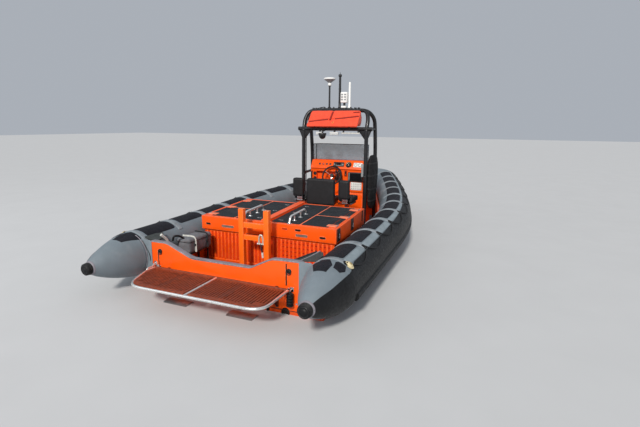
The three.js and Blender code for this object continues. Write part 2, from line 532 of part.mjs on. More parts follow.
// chart plotter on the starboard side of the console
add('chart_plotter', block(CON_X - 34, CON_X - GAP, -452, -192, 846, 1004), 'black');

// ---------------------------------------------------------------- seats
//   name        centre y, half width of cushion, half width of back, cushion bottom, back top, back bottom
const SEATS = [
  ['helm',        0,   200, 235, 575, 970, 545],
  ['port',      385,   120,  90, 600, 965, 660],
  ['starboard', -385,  120,  90, 600, 965, 660],
];
const SEAT_X = 2680;                     // after face of the backs
for (const [name, y, hc, hb, zb, zt, zl] of SEATS) {
  const base = name === 'helm'
    ? join(block(SEAT_X + 90, SEAT_X + 330, y - 120, y + 120, boxFloor, zb - 30), block(SEAT_X + 90, SEAT_X + 380, y - hc + 20, y + hc - 20, zb - 30, zb),
        block(SEAT_X + 104, SEAT_X + 140, y - 60, y + 60, zb - 10, zb))
    : join(rod([SEAT_X + 200, y, boxFloor + 14], [SEAT_X + 200, y, zb - 15], 38, 14), block(SEAT_X + 90, SEAT_X + 310, y - 95, y + 95, boxFloor, boxFloor + 16),
        block(SEAT_X + 60, SEAT_X + 350, y - hc + 15, y + hc - 15, zb - 24, zb));
  // strut that carries the back
  const strut = join(block(SEAT_X + 88, SEAT_X + 104, y - 45, y + 45, zb - 20, zt - 60));
  add(name + '_seat_base', base.add(strut), name === 'helm' ? 'black' : 'steel');
  add(name + '_seat_cushion', block(SEAT_X + 110, SEAT_X + 430, y - hc, y + hc, zb + GAP, zb + 95), 'seat');
  add(name + '_seat_back', block(SEAT_X, SEAT_X + 88 - GAP, y - hb, y + hb, zl, zt), 'seat');
}

// ---------------------------------------------------------------- gantry
const both = pts => [...pts, ...pts.slice().reverse().map(([x, y, z]) => [x, -y, z])];
// after hoop: legs, and a bow above the beam that leans forward to the top
const aftHoop = pipe(rounded(both([[AFT_X, AFT_Y, boxFloor], [AFT_X, AFT_Y, BEAM_Z], [AFT_X + 62, AFT_Y + 6, 1900], [AFT_X + 138, 500, HOOP_Z]]), 130, 3), GT_R, 12);
const foreHoop = pipe(rounded(both([[FWD_X + 60, FWD_Y, boxFloor], [FWD_X, FWD_Y, 1400], [FWD_X - 60, FWD_Y, 1740], [FWD_X - 130, FWD_Y + 4, 1905], [HOOP_X + 35, 500, HOOP_Z]]), 130, 3), GT_R, 12);
const beam = pipe([[AFT_X, -BEAM_HALF, BEAM_Z], [AFT_X, BEAM_HALF, BEAM_Z]], GT_R, 12);
// gusset plates under the beam, outboard and inboard of the legs
const gussets = [1, -1].map(s => cross([[BEAM_HALF, BEAM_Z], [AFT_Y + 20, BEAM_Z - 175], [AFT_Y - 20, BEAM_Z - 180], [AFT_Y - 125, BEAM_Z - 40], [AFT_Y - 125, BEAM_Z]].map(([y, z]) => [s * y, z]), AFT_X - 11, AFT_X + 11));
const ties = [1, -1].flatMap(s => [
  rod([AFT_X, s * AFT_Y, BEAM_Z], [FWD_X - 58, s * FWD_Y, BEAM_Z], 26, 10),
  rod([AFT_X, s * AFT_Y, 980], [FWD_X + 18, s * FWD_Y, 980], 22, 10),
]);
const TOP_PLATE = HOOP_Z + GT_R + 6;     // plate on the two top tubes that carries the aerials
let gantry = join(aftHoop, foreHoop, beam, ...gussets, ...ties, block(HOOP_X - 42, HOOP_X + 42, -245, 265, HOOP_Z + 10, TOP_PLATE))
  .subtract(block(3000, 4200, -900, 900, -200, boxFloor));
add('gantry', gantry, 'black');

// self-righting bag, folded on the gantry: side outline [x, z]
const BAG = [[3203, 1792], [3224, 1768], [3385, 1768], [3432, 1830], [3448, 1925], [3402, 1978], [3386, 2024], [3368, 2034], [3345, 2022]];
add('righting_bag', side(BAG, -425, 440), 'fabric');

// mast, aerials and reflector on the top plate: turned profiles [radius, height]
const MAST_Z = TOP_PLATE + GAP;
add('light_mast', turned([[0, 0], [30, 0], [30, 14], [15, 20], [15, 350], [26, 362], [30, 385], [24, 408], [40, 425], [98, 466], [100, 482], [70, 494], [0, 498]], [HOOP_X, 160, MAST_Z], [0, 0, 1], 16), 'white');
add('aerial_pole', turned([[0, 0], [30, 0], [30, 12], [20, 20], [20, 500], [28, 508], [28, 532], [16, 540], [5, 544], [4, 572], [0, 573]], [HOOP_X, -23, MAST_Z], [0, 0, 1], 14), 'black');
const reflector = join(block(HOOP_X - 40, HOOP_X + 40, -142, -58, MAST_Z, MAST_Z + 34), rod([HOOP_X, -105, MAST_Z + 30], [HOOP_X, -105, MAST_Z + 86], 20, 12),
  block(HOOP_X - 48, HOOP_X + 48, -162, -48, MAST_Z + 82, MAST_Z + 256));
add('radar_reflector', reflector, 'white');
add('whip_aerial', turned([[0, 0], [24, 0], [24, 30], [18, 40], [18, 400], [12, 412], [0, 414]], [HOOP_X, -194, MAST_Z], [0, 0, 1], 12), 'white');

// ---------------------------------------------------------------- stowage and bow
add('stern_pannier', join(block(400, 850, 700, 915, 285, 462), block(435, 815, 735, 910, boxFloor, 287)), 'capping');
const BOLLARD_X = 5290, BOLLARD_Z = FOREDECK_Z + 30;
add('bow_bollard', join(block(BOLLARD_X - 70, BOLLARD_X + 70, -70, 70, BOLLARD_Z + GAP, BOLLARD_Z + 14), rod([BOLLARD_X, 0, BOLLARD_Z + 10], [BOLLARD_X, 0, BOLLARD_Z + 210], 34, 14), rod([BOLLARD_X, -95, BOLLARD_Z + 150], [BOLLARD_X, 95, BOLLARD_Z + 150], 16, 10)), 'steel');

export default group;
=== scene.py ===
import bpy, bmesh, json, math, random
import numpy as np
from mathutils import Matrix, Vector, noise


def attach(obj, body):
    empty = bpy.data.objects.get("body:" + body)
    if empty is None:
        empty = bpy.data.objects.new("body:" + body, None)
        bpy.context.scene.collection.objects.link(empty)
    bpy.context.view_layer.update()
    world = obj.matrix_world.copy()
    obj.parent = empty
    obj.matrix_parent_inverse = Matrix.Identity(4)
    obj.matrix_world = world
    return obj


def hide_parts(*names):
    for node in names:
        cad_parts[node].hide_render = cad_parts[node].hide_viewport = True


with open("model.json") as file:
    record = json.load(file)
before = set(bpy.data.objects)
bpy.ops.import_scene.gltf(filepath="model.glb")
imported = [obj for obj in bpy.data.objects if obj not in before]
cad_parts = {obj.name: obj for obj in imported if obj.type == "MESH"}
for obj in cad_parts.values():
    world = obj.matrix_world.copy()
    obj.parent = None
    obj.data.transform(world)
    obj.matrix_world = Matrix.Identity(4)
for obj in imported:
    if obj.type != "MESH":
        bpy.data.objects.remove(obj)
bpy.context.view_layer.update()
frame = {"nodes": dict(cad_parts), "record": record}
N = frame["nodes"]
random.seed(7)
SCN = bpy.context.scene

# ------------------------------------------------------------------ camera
CAM_C = Vector((-3.452, -2.482, 1.80))
YAW, PITCH, ROLL = math.radians(23.07), math.radians(11.08), math.radians(0.44)


def camera():
    fwd = Vector((math.cos(YAW) * math.cos(PITCH), math.sin(YAW) * math.cos(PITCH), -math.sin(PITCH)))
    right = Vector((math.sin(YAW), -math.cos(YAW), 0))
    up = right.cross(fwd)
    r = right * math.cos(ROLL) + up * math.sin(ROLL)
    u = -right * math.sin(ROLL) + up * math.cos(ROLL)
    cam = bpy.data.cameras.new("camera")
    cam.sensor_width, cam.lens = 36.0, 427.4 * 36 / 640
    cam.shift_x, cam.shift_y = 8 / 640, -5.5 / 640
    cam.clip_start, cam.clip_end = 0.05, 200
    o = bpy.data.objects.new("camera", cam)
    SCN.collection.objects.link(o)
    m = Matrix((r, u, -fwd)).transposed().to_4x4()
    m.translation = CAM_C
    o.matrix_world = m
    SCN.camera = o


camera()

# ------------------------------------------------------------------ materials
MATS = {}


def material(name, color, rough=0.5, metal=0.0, var=0.10, scale=5.0, dark=None, grime=0.0, bump=0.0,
             bump_scale=300.0, bump_kind="noise", wear=None, wear_amount=0.0, coat=0.0, spec=0.5, alpha=1.0,
             streak=None, streak_amount=0.0, sheen=0.0, rough_var=0.10, transmission=0.0, bump2=0.0, bump2_scale=8.0, wear_width=0.009):
    """A procedural finish: two scales of tone, grime in patches, worn edges, fine grain in the bump."""
    m = bpy.data.materials.new(name)
    m.use_nodes = True
    nt = m.node_tree
    nd, lk = nt.nodes, nt.links
    b = nd["Principled BSDF"]
    tc = nd.new("ShaderNodeTexCoord")

    def noise_node(s, detail=4, dist=0.0, stretch=None):
        src = tc.outputs["Object"]
        if stretch:
            mp = nd.new("ShaderNodeMapping")
            mp.inputs["Scale"].default_value = stretch
            lk.new(src, mp.inputs["Vector"])
            src = mp.outputs["Vector"]
        t = nd.new("ShaderNodeTexNoise")
        t.inputs["Scale"].default_value = s
        t.inputs["Detail"].default_value = detail
        t.inputs["Distortion"].default_value = dist
        lk.new(src, t.inputs["Vector"])
        return t.outputs["Fac"]

    def ramp(fac, lo, hi, a=0.0, c=1.0):
        r = nd.new("ShaderNodeMapRange")
        r.inputs["From Min"].default_value, r.inputs["From Max"].default_value = lo, hi
        r.inputs["To Min"].default_value, r.inputs["To Max"].default_value = a, c
        lk.new(fac, r.inputs["Value"])
        return r.outputs["Result"]

    def mix(fac, a, c, blend="MIX"):
        x = nd.new("ShaderNodeMix")
        x.data_type, x.blend_type = "RGBA", blend
        if isinstance(fac, float):
            x.inputs["Factor"].default_value = fac
        else:
            lk.new(fac, x.inputs["Factor"])
        for sock, val in ((x.inputs[6], a), (x.inputs[7], c)):
            if isinstance(val, (tuple, list)):
                sock.default_value = (*val[:3], 1)
            else:
                lk.new(val, sock)
        return x.outputs[2]

    c = Vector(color)
    lo, hi = [max(0, v * (1 - var)) for v in c], [min(1, v * (1 + var)) for v in c]
    col = mix(ramp(noise_node(scale, 5, 0.3), 0.3, 0.7), lo, hi)
    if grime > 0:
        g = dark or [v * 0.45 for v in c]
        big = ramp(noise_node(scale * 0.45, 7, 0.8), 0.52, 0.78, 0.0, grime)
        col = mix(big, col, g)
    if streak:
        s = ramp(noise_node(1.0, 6, 0.4, (14, 14, 2.2)), 0.55, 0.8, 0.0, streak_amount)
        col = mix(s, col, streak)
    if wear:
        geo = nd.new("ShaderNodeNewGeometry")
        bv = nd.new("ShaderNodeBevel")
        bv.samples = 4
        bv.inputs["Radius"].default_value = wear_width
        dt = nd.new("ShaderNodeVectorMath")
        dt.operation = "DOT_PRODUCT"
        lk.new(bv.outputs["Normal"], dt.inputs[0])
        lk.new(geo.outputs["Normal"], dt.inputs[1])
        e = ramp(dt.outputs["Value"], 0.985, 0.90, 0.0, 1.0)
        n2 = ramp(noise_node(45, 4), 0.42, 0.60, 0.0, wear_amount)
        mm = nd.new("ShaderNodeMath")
        mm.operation = "MULTIPLY"
        lk.new(e, mm.inputs[0])
        lk.new(n2, mm.inputs[1])
        col = mix(mm.outputs[0], col, wear)
    lk.new(col, b.inputs["Base Color"])
    rv = ramp(noise_node(scale * 3, 5), 0.3, 0.7, max(0.02, rough - rough_var), min(1, rough + rough_var))
    lk.new(rv, b.inputs["Roughness"])
    b.inputs["Metallic"].default_value = metal
    b.inputs["Specular IOR Level"].default_value = spec
    b.inputs["Coat Weight"].default_value = coat
    b.inputs["Coat Roughness"].default_value = 0.12
    b.inputs["Sheen Weight"].default_value = sheen
    b.inputs["Alpha"].default_value = alpha
    b.inputs["Transmission Weight"].default_value = transmission
    h = None
    if bump > 0:
        if bump_kind == "voronoi":
            t = nd.new("ShaderNodeTexVoronoi")
            t.inputs["Scale"].default_value = bump_scale
            lk.new(tc.outputs["Object"], t.inputs["Vector"])
            h = t.outputs["Distance"]
        elif bump_kind == "weave":
            ws = []
            for d in ("X", "Y", "Z"):
                w = nd.new("ShaderNodeTexWave")
                w.bands_direction = d
                w.inputs["Scale"].default_value = bump_scale
                w.inputs["Distortion"].default_value = 0.4
                lk.new(tc.outputs["Object"], w.inputs["Vector"])
                ws.append(w.outputs["Fac"])
            s = None
            for w in ws:
                if s is None:
                    s = w
                else:
                    a = nd.new("ShaderNodeMath")
                    a.operation = "ADD"
                    lk.new(s, a.inputs[0])
                    lk.new(w, a.inputs[1])
                    s = a.outputs[0]
            h = s
        else:
            h = noise_node(bump_scale, 3)
        bn = nd.new("ShaderNodeBump")
        bn.inputs["Strength"].default_value = bump
        bn.inputs["Distance"].default_value = 0.002
        lk.new(h, bn.inputs["Height"])
        last = bn
        if bump2 > 0:
            bn2 = nd.new("ShaderNodeBump")
            bn2.inputs["Strength"].default_value = bump2
            bn2.inputs["Distance"].default_value = 0.02
            lk.new(noise_node(bump2_scale, 3, 0.6), bn2.inputs["Height"])
            lk.new(bn.outputs["Normal"], bn2.inputs["Normal"])
            last = bn2
        lk.new(last.outputs["Normal"], b.inputs["Normal"])
    MATS[name] = m
    return m


ORANGE = (0.90, 0.094, 0.0020)
material("orange", ORANGE, 0.40, var=0.07, scale=3, grime=0.22, dark=(0.52, 0.045, 0.004), bump=0.10, bump_scale=140,
         wear=(0.97, 0.38, 0.20), wear_amount=0.75, coat=0.10, spec=0.30, bump2=0.04, bump2_scale=3.0)
material("orange_hull", (0.78, 0.078, 0.004), 0.40, var=0.08, scale=2.5, grime=0.45, dark=(0.28, 0.035, 0.008), bump=0.1,
         bump_scale=120, wear=(0.9, 0.32, 0.16), wear_amount=0.4, coat=0.10, spec=0.30, streak=(0.22, 0.04, 0.015), streak_amount=0.35)
material("orange_post", (0.98, 0.150, 0.008), 0.42, var=0.06, scale=7, grime=0.20, dark=(0.62, 0.085, 0.006), bump=0.12,
         bump_scale=180, wear=(1.0, 0.50, 0.26), wear_amount=0.9, coat=0.08, spec=0.30)
material("pink_scuff", (0.80, 0.22, 0.12), 0.58, var=0.18, scale=18, grime=0.4, dark=(0.55, 0.10, 0.03), bump=0.2, bump_scale=260, spec=0.3)
material("deck_nonslip", (0.145, 0.150, 0.155), 0.88, var=0.14, scale=9, grime=0.45, dark=(0.06, 0.062, 0.062), bump=0.9,
         bump_scale=260, bump_kind="voronoi", spec=0.25)
material("capping", (0.215, 0.200, 0.228), 0.50, var=0.14, scale=10, grime=0.3, bump=0.12, bump_scale=200,
         wear=(0.62, 0.61, 0.66), wear_amount=0.9, wear_width=0.006, spec=0.35)
material("tube_grey", (0.175, 0.212, 0.240), 0.52, var=0.07, scale=4, grime=0.30, dark=(0.095, 0.108, 0.115), bump=0.28,
         bump_scale=900, bump_kind="weave", streak=(0.29, 0.31, 0.32), streak_amount=0.22, bump2=0.05, bump2_scale=4, spec=0.32)
material("tube_band", (0.235, 0.262, 0.285), 0.50, var=0.16, scale=14, grime=0.38, dark=(0.10, 0.108, 0.115), bump=0.25,
         bump_scale=800, bump_kind="weave", bump2=0.10, bump2_scale=16, spec=0.32)
material("tube_panel", (0.245, 0.295, 0.325), 0.52, var=0.14, scale=10, grime=0.30, dark=(0.12, 0.135, 0.145), bump=0.5,
         bump_scale=420, bump_kind="voronoi", spec=0.32)
material("pad_black", (0.0075, 0.0078, 0.0125), 0.70, var=0.35, scale=16, grime=0.20, dark=(0.020, 0.020, 0.026), bump=0.7,
         bump_scale=330, bump_kind="voronoi", bump2=0.12, bump2_scale=14, spec=0.28)
material("rubber", (0.0060, 0.0063, 0.0072), 0.52, var=0.3, scale=14, grime=0.28, dark=(0.020, 0.021, 0.023), bump=0.25,
         bump_scale=420, wear=(0.11, 0.11, 0.11), wear_amount=0.6, wear_width=0.004, bump2=0.05, bump2_scale=18, spec=0.28)
material("lid_pad", (0.0165, 0.0205, 0.0250), 0.72, var=0.22, scale=9, grime=0.40, dark=(0.048, 0.054, 0.060), bump=0.9,
         bump_scale=300, bump_kind="voronoi", spec=0.25)
material("steel", (0.74, 0.75, 0.75), 0.17, metal=1.0, var=0.07, scale=12, grime=0.2, dark=(0.40, 0.38, 0.34), bump=0.05,
         bump_scale=300, rough_var=0.07)
material("shackle", (0.62, 0.58, 0.50), 0.42, metal=0.35, var=0.14, scale=30, grime=0.35, dark=(0.30, 0.26, 0.20), bump=0.15)
# painted shade for the grooves on the platform
material("slat_groove_shade", (0.045, 0.010, 0.006), 0.7, var=0.3, scale=30, grime=0.3, bump=0.2, spec=0.2)
material("knee_cloth", (0.052, 0.060, 0.058), 0.62, var=0.18, scale=16, grime=0.45, dark=(0.050, 0.055, 0.055), bump=0.4,
         bump_scale=700, bump_kind="weave", bump2=0.25, bump2_scale=14, spec=0.28)
# darker orange laid between the ribs: painted shade in the grooves
material("orange_groove_shade", (0.60, 0.036, 0.0015), 0.55, var=0.14, scale=12, grime=0.35, dark=(0.30, 0.020, 0.002), bump=0.15, spec=0.25)
material("rail_steel", (0.84, 0.84, 0.82), 0.30, metal=0.85, var=0.05, scale=12, grime=0.12, dark=(0.55, 0.53, 0.50), bump=0.05,
         bump_scale=300, rough_var=0.06)
material("grating", (0.215, 0.040, 0.014), 0.48, var=0.35, scale=34, grime=0.5, dark=(0.060, 0.014, 0.008), bump=0.5,
         bump_scale=170, wear=(0.40, 0.13, 0.07), wear_amount=0.8, wear_width=0.003, spec=0.35)
material("engine", (0.36, 0.38, 0.39), 0.45, metal=0.3, var=0.1, scale=8, grime=0.3, bump=0.1)
material("alloy", (0.38, 0.39, 0.40), 0.42, metal=0.85, var=0.12, scale=14, grime=0.5, dark=(0.16, 0.155, 0.14), bump=0.35,
         bump_scale=200)
material("black_tube", (0.010, 0.010, 0.0115), 0.36, var=0.25, scale=10, grime=0.35, dark=(0.034, 0.034, 0.036), bump=0.12,
         bump_scale=420, wear=(0.20, 0.20, 0.20), wear_amount=0.5, wear_width=0.004, coat=0.1, spec=0.4)
material("black_plastic", (0.012, 0.012, 0.014), 0.40, var=0.2, scale=20, grime=0.2, bump=0.10, bump_scale=500,
         wear=(0.11, 0.11, 0.11), wear_amount=0.4, wear_width=0.004)
material("screen_black", (0.008, 0.009, 0.011), 0.10, var=0.2, scale=12, bump=0.02, spec=0.6, rough_var=0.04)
material("white_plastic", (0.80, 0.80, 0.78), 0.35, var=0.04, scale=8, grime=0.15, dark=(0.55, 0.53, 0.48), bump=0.05)
material("white_panel", (0.72, 0.71, 0.685), 0.40, var=0.04, scale=12, grime=0.12, dark=(0.60, 0.57, 0.52), bump=0.06)
material("grey_plastic", (0.26, 0.275, 0.28), 0.5, var=0.1, scale=12, grime=0.3, bump=0.12, bump_scale=300)
material("tint", (0.13, 0.17, 0.21), 0.06, var=0.05, scale=3, alpha=0.46, rough_var=0.03, bump=0.01, bump_scale=3)
material("glass_clear", (0.45, 0.48, 0.50), 0.05, var=0.05, scale=3, alpha=0.35, rough_var=0.02)
material("bag", (0.80, 0.070, 0.026), 0.60, var=0.10, scale=9, grime=0.25, dark=(0.46, 0.032, 0.012), bump=0.30, bump_scale=900,
         bump_kind="weave", sheen=0.12, bump2=0.10, bump2_scale=18, spec=0.3)
material("seat", (0.0085, 0.0085, 0.0100), 0.52, var=0.25, scale=12, grime=0.30, dark=(0.024, 0.024, 0.027), bump=0.45,
         bump_scale=420, bump_kind="voronoi", bump2=0.06, bump2_scale=20, spec=0.38)
# painted shade for the bottoms of the bag's folds
material("bag_fold_shade", (0.230, 0.008, 0.003), 0.75, var=0.10, scale=18, grime=0.02, dark=(0.110, 0.005, 0.002), bump=0.1)
material("cover_black", (0.0085, 0.0085, 0.0095), 0.70, var=0.3, scale=14, grime=0.35, dark=(0.026, 0.026, 0.028), bump=0.4,
         bump_scale=800, bump_kind="weave", bump2=0.15, bump2_scale=14, spec=0.25)
material("pannier", (0.150, 0.155, 0.170), 0.66, var=0.10, scale=10, grime=0.35, dark=(0.075, 0.078, 0.085), bump=0.35,
         bump_scale=800, bump_kind="weave", bump2=0.12, bump2_scale=12, spec=0.28)
material("strap_pale", (0.60, 0.60, 0.56), 0.7, var=0.12, scale=40, grime=0.3, bump=0.4, bump_scale=600, bump_kind="weave")
material("strap_black", (0.012, 0.012, 0.014), 0.72, var=0.3, scale=30, grime=0.3, dark=(0.05, 0.05, 0.05), bump=0.5,
         bump_scale=700, bump_kind="weave")
material("rope_black", (0.012, 0.0125, 0.0145), 0.8, var=0.3, scale=60, grime=0.3, dark=(0.04, 0.04, 0.04), bump=0.6, bump_scale=350)
material("brass", (0.66, 0.50, 0.24), 0.34, metal=0.9, var=0.2, scale=40, grime=0.4, dark=(0.25, 0.2, 0.1), bump=0.2)
material("valve_cream", (0.70, 0.60, 0.36), 0.45, var=0.15, scale=40, grime=0.4, dark=(0.35, 0.28, 0.14), bump=0.2)
# painted shade for the insides of slots, holes and recesses
material("slot_shade", (0.018, 0.010, 0.008), 0.7, var=0.3, scale=30, grime=0.2, bump=0.2, spec=0.2)
material("slot_orange", (0.42, 0.035, 0.003), 0.6, var=0.2, scale=20, grime=0.3, bump=0.15, spec=0.2)
# painted shade inside the perforations
material("perforation_shade", (0.20, 0.014, 0.003), 0.6, var=0.25, scale=20, grime=0.3, bump=0.15, spec=0.2)
material("slot_grey", (0.16, 0.13, 0.11), 0.5, var=0.2, scale=20, grime=0.3, bump=0.15)
material("red_lens", (0.55, 0.02, 0.02), 0.15, var=0.1, scale=20, bump=0.02, rough_var=0.05)
material("floor", (0.56, 0.565, 0.57), 0.75, var=0.015, scale=1.5, bump=0.02, bump_scale=60, spec=0.25)


# ------------------------------------------------------------------ mesh building
class Build:
    """Gathers vertices and faces with a material each, and makes one object of them."""

    def __init__(self):
        self.v, self.f, self.m, self.names = [], [], [], []

    def add(self, verts, faces, mat):
        if mat not in self.names:
            self.names.append(mat)
        k, b = self.names.index(mat), len(self.v)
        self.v += [tuple(p) for p in verts]
        self.f += [tuple(i + b for i in f) for f in faces]
        self.m += [k] * len(faces)
        return self

    def bm(self, bm, mat, matrix=None):
        bm.verts.index_update()
        vs = [(matrix @ v.co) if matrix else v.co.copy() for v in bm.verts]
        self.add(vs, [[v.index for v in f.verts] for f in bm.faces], mat)
        bm.free()
        return self

    # --- pieces
    def tube(self, pts, r, mat, n=20, closed=False, caps=True, flat=None):
        """A bar along points. r is a number or one for each point; flat = (width, thickness) makes a strap."""
        P = [Vector(p) for p in pts]
        if closed:
            T = [(P[(i + 1) % len(P)] - P[i - 1]).normalized() for i in range(len(P))]
        else:
            T = [(P[min(i + 1, len(P) - 1)] - P[max(i - 1, 0)]).normalized() for i in range(len(P))]
        a = Vector((0, 0, 1)) if abs(T[0].z) < 0.9 else Vector((1, 0, 0))
        u = (a - T[0] * a.dot(T[0])).normalized()
        vs, fs = [], []
        for i, p in enumerate(P):
            u = (u - T[i] * u.dot(T[i])).normalized()
            w = T[i].cross(u)
            rr = r[i] if isinstance(r, (list, tuple)) else r
            for k in range(n):
                t = 2 * math.pi * k / n
                if flat:
                    c, s = math.cos(t), math.sin(t)
                    e = 0.35
                    x = flat[0] / 2 * math.copysign(abs(c) ** e, c)
                    y = flat[1] / 2 * math.copysign(abs(s) ** e, s)
                    vs.append(p + w * x + u * y)
                else:
                    vs.append(p + u * (rr * math.cos(t)) + w * (rr * math.sin(t)))
        m = len(P)
        for i in range(m if closed else m - 1):
            j = (i + 1) % m
            for k in range(n):
                fs.append((i * n + k, i * n + (k + 1) % n, j * n + (k + 1) % n, j * n + k))
        if caps and not closed:
            fs.append(tuple(range(n))[::-1])
            fs.append(tuple((m - 1) * n + k for k in range(n)))
        return self.add(vs, fs, mat)

    def lathe(self, prof, c, axis, mat, n=32, caps=True):
        """Turned about an axis through c: prof is [(radius, height)]."""
        q = Vector((0, 0, 1)).rotation_difference(Vector(axis).normalized())
        c = Vector(c)
        vs, fs, rings = [], [], []
        for r, h in prof:
            if r < 1e-6:
                rings.append([len(vs)])
                vs.append(c + q @ Vector((0, 0, h)))
            else:
                rings.append(list(range(len(vs), len(vs) + n)))
                vs += [c + q @ Vector((r * math.cos(2 * math.pi * k / n), r * math.sin(2 * math.pi * k / n), h)) for k in range(n)]
        for a, b in zip(rings, rings[1:]):
            for k in range(n):
                if len(a) == 1 and len(b) == 1:
                    continue
                if len(a) == 1:
                    fs.append((a[0], b[(k + 1) % n], b[k]))
                elif len(b) == 1:
                    fs.append((a[k], a[(k + 1) % n], b[0]))
                else:
                    fs.append((a[k], a[(k + 1) % n], b[(k + 1) % n], b[k]))
        if caps:
            for rg, rev in ((rings[0], True), (rings[-1], False)):
                if len(rg) > 1:
                    fs.append(tuple(rg[::-1] if rev else rg))
        return self.add(vs, fs, mat)

    def box(self, lo, hi, mat, bevel=0.004, seg=3, matrix=None):
        bm = bmesh.new()
        bmesh.ops.create_cube(bm, size=1)
        lo, hi = Vector(lo), Vector(hi)
        for v in bm.verts:
            v.co = Vector([(lo[i] + hi[i]) / 2 + v.co[i] * (hi[i] - lo[i]) for i in range(3)])
        b = min(bevel, min(hi[i] - lo[i] for i in range(3)) * 0.45)
        if b > 0:
            bmesh.ops.bevel(bm, geom=list(bm.edges), offset=b, segments=seg, profile=0.5, affect="EDGES")
        return self.bm(bm, mat, matrix)

    def prism(self, outline, d0, d1, mat, frame3=None, bevel=0.0, seg=2):
        """outline [(u, v)] pushed from d0 to d1 along w; frame3 = (origin, u, v, w)."""
        o, U, V, W = frame3 or ((0, 0, 0), (1, 0, 0), (0, 1, 0), (0, 0, 1))
        o, U, V, W = map(Vector, (o, U, V, W))
        bm = bmesh.new()
        lo = [bm.verts.new(o + U * a + V * b + W * d0) for a, b in outline]
        hi = [bm.verts.new(o + U * a + V * b + W * d1) for a, b in outline]
        n = len(outline)
        bm.faces.new(lo[::-1])
        bm.faces.new(hi)
        for i in range(n):
            bm.faces.new((lo[i], lo[(i + 1) % n], hi[(i + 1) % n], hi[i]))
        bmesh.ops.recalc_face_normals(bm, faces=bm.faces)
        if bevel > 0:
            es = [e for e in bm.edges if len(e.link_faces) == 2 and e.calc_face_angle(0) > 0.5]
            bmesh.ops.bevel(bm, geom=es, offset=bevel, segments=seg, profile=0.5, affect="EDGES")
        return self.bm(bm, mat)

    def ball(self, c, r, mat, scale=(1, 1, 1), n=16):
        bm = bmesh.new()
        bmesh.ops.create_uvsphere(bm, u_segments=n, v_segments=n // 2, radius=r)
        for v in bm.verts:
            v.co = Vector(c) + Vector((v.co.x * scale[0], v.co.y * scale[1], v.co.z * scale[2]))
        return self.bm(bm, mat)

    def make(self, name, body="boat", replaces=(), slot=None, sharp=35, flat=False, warp=None):
        if warp:
            self.v = [warp(v) for v in self.v]
        me = bpy.data.meshes.new(name)
        me.from_pydata(self.v, [], self.f)
        for nm in self.names:
            me.materials.append(MATS[nm])
        me.polygons.foreach_set("material_index", self.m)
        me.validate()
        me.update()
        bm = bmesh.new()
        bm.from_mesh(me)
        bmesh.ops.recalc_face_normals(bm, faces=bm.faces)
        bm.to_mesh(me)
        bm.free()
        if not flat:
            me.shade_smooth()
            me.set_sharp_from_angle(angle=math.radians(sharp))
        o = bpy.data.objects.new(name, me)
        SCN.collection.objects.link(o)
        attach(o, body)
        if replaces:
            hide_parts(*replaces)
        return o


def bend(pts, rr, k=8):
    """Corner points with each corner rounded."""
    P = [Vector(p) for p in pts]
    out = [P[0]]
    for i in range(1, len(P) - 1):
        a, b = P[i - 1] - P[i], P[i + 1] - P[i]
        r = min(rr, a.length * 0.49, b.length * 0.49)
        s, e = P[i] + a.normalized() * r, P[i] + b.normalized() * r
        for j in range(k + 1):
            t = j / k
            out.append(s * (1 - t) ** 2 + P[i] * 2 * t * (1 - t) + e * t * t)
    out.append(P[-1])
    return out


def rrect(u0, u1, v0, v1, r, k=6):
    """A rectangle with round corners as [(u, v)]."""
    r = min(r, (u1 - u0) / 2, (v1 - v0) / 2)
    out = []
    for cu, cv, a0 in ((u1 - r, v1 - r, 0), (u0 + r, v1 - r, 90), (u0 + r, v0 + r, 180), (u1 - r, v0 + r, 270)):
        for j in range(k + 1):
            a = math.radians(a0 + 90 * j / k)
            out.append((cu + r * math.cos(a), cv + r * math.sin(a)))
    return out


def dress(node, mats, bevel=0.0, seg=2, angle=30, pick=None):
    """A CAD node kept as it is, with a finish and softened edges."""
    o = N[node]
    me = o.data
    me.materials.clear()
    for m in mats if isinstance(mats, (list, tuple)) else [mats]:
        me.materials.append(MATS[m])
    w = o.modifiers.new("weld", "WELD")
    w.merge_threshold = 0.00002
    if bevel:
        b = o.modifiers.new("bevel", "BEVEL")
        b.width, b.segments, b.limit_method, b.angle_limit = bevel, seg, "ANGLE", math.radians(angle)
        b.harden_normals = False
        b.use_clamp_overlap = True
    if me.has_custom_normals:
        SCN.collection.objects.link(o) if o.name not in SCN.collection.all_objects else None
        bpy.context.view_layer.objects.active = o
        bpy.ops.mesh.customdata_custom_splitnormals_clear()
    me.polygons.foreach_set("use_smooth", [True] * len(me.polygons))
    e = o.modifiers.new("split", "EDGE_SPLIT")
    e.split_angle = math.radians(angle + 8)
    e.use_edge_sharp = False
    me.update()
    return o


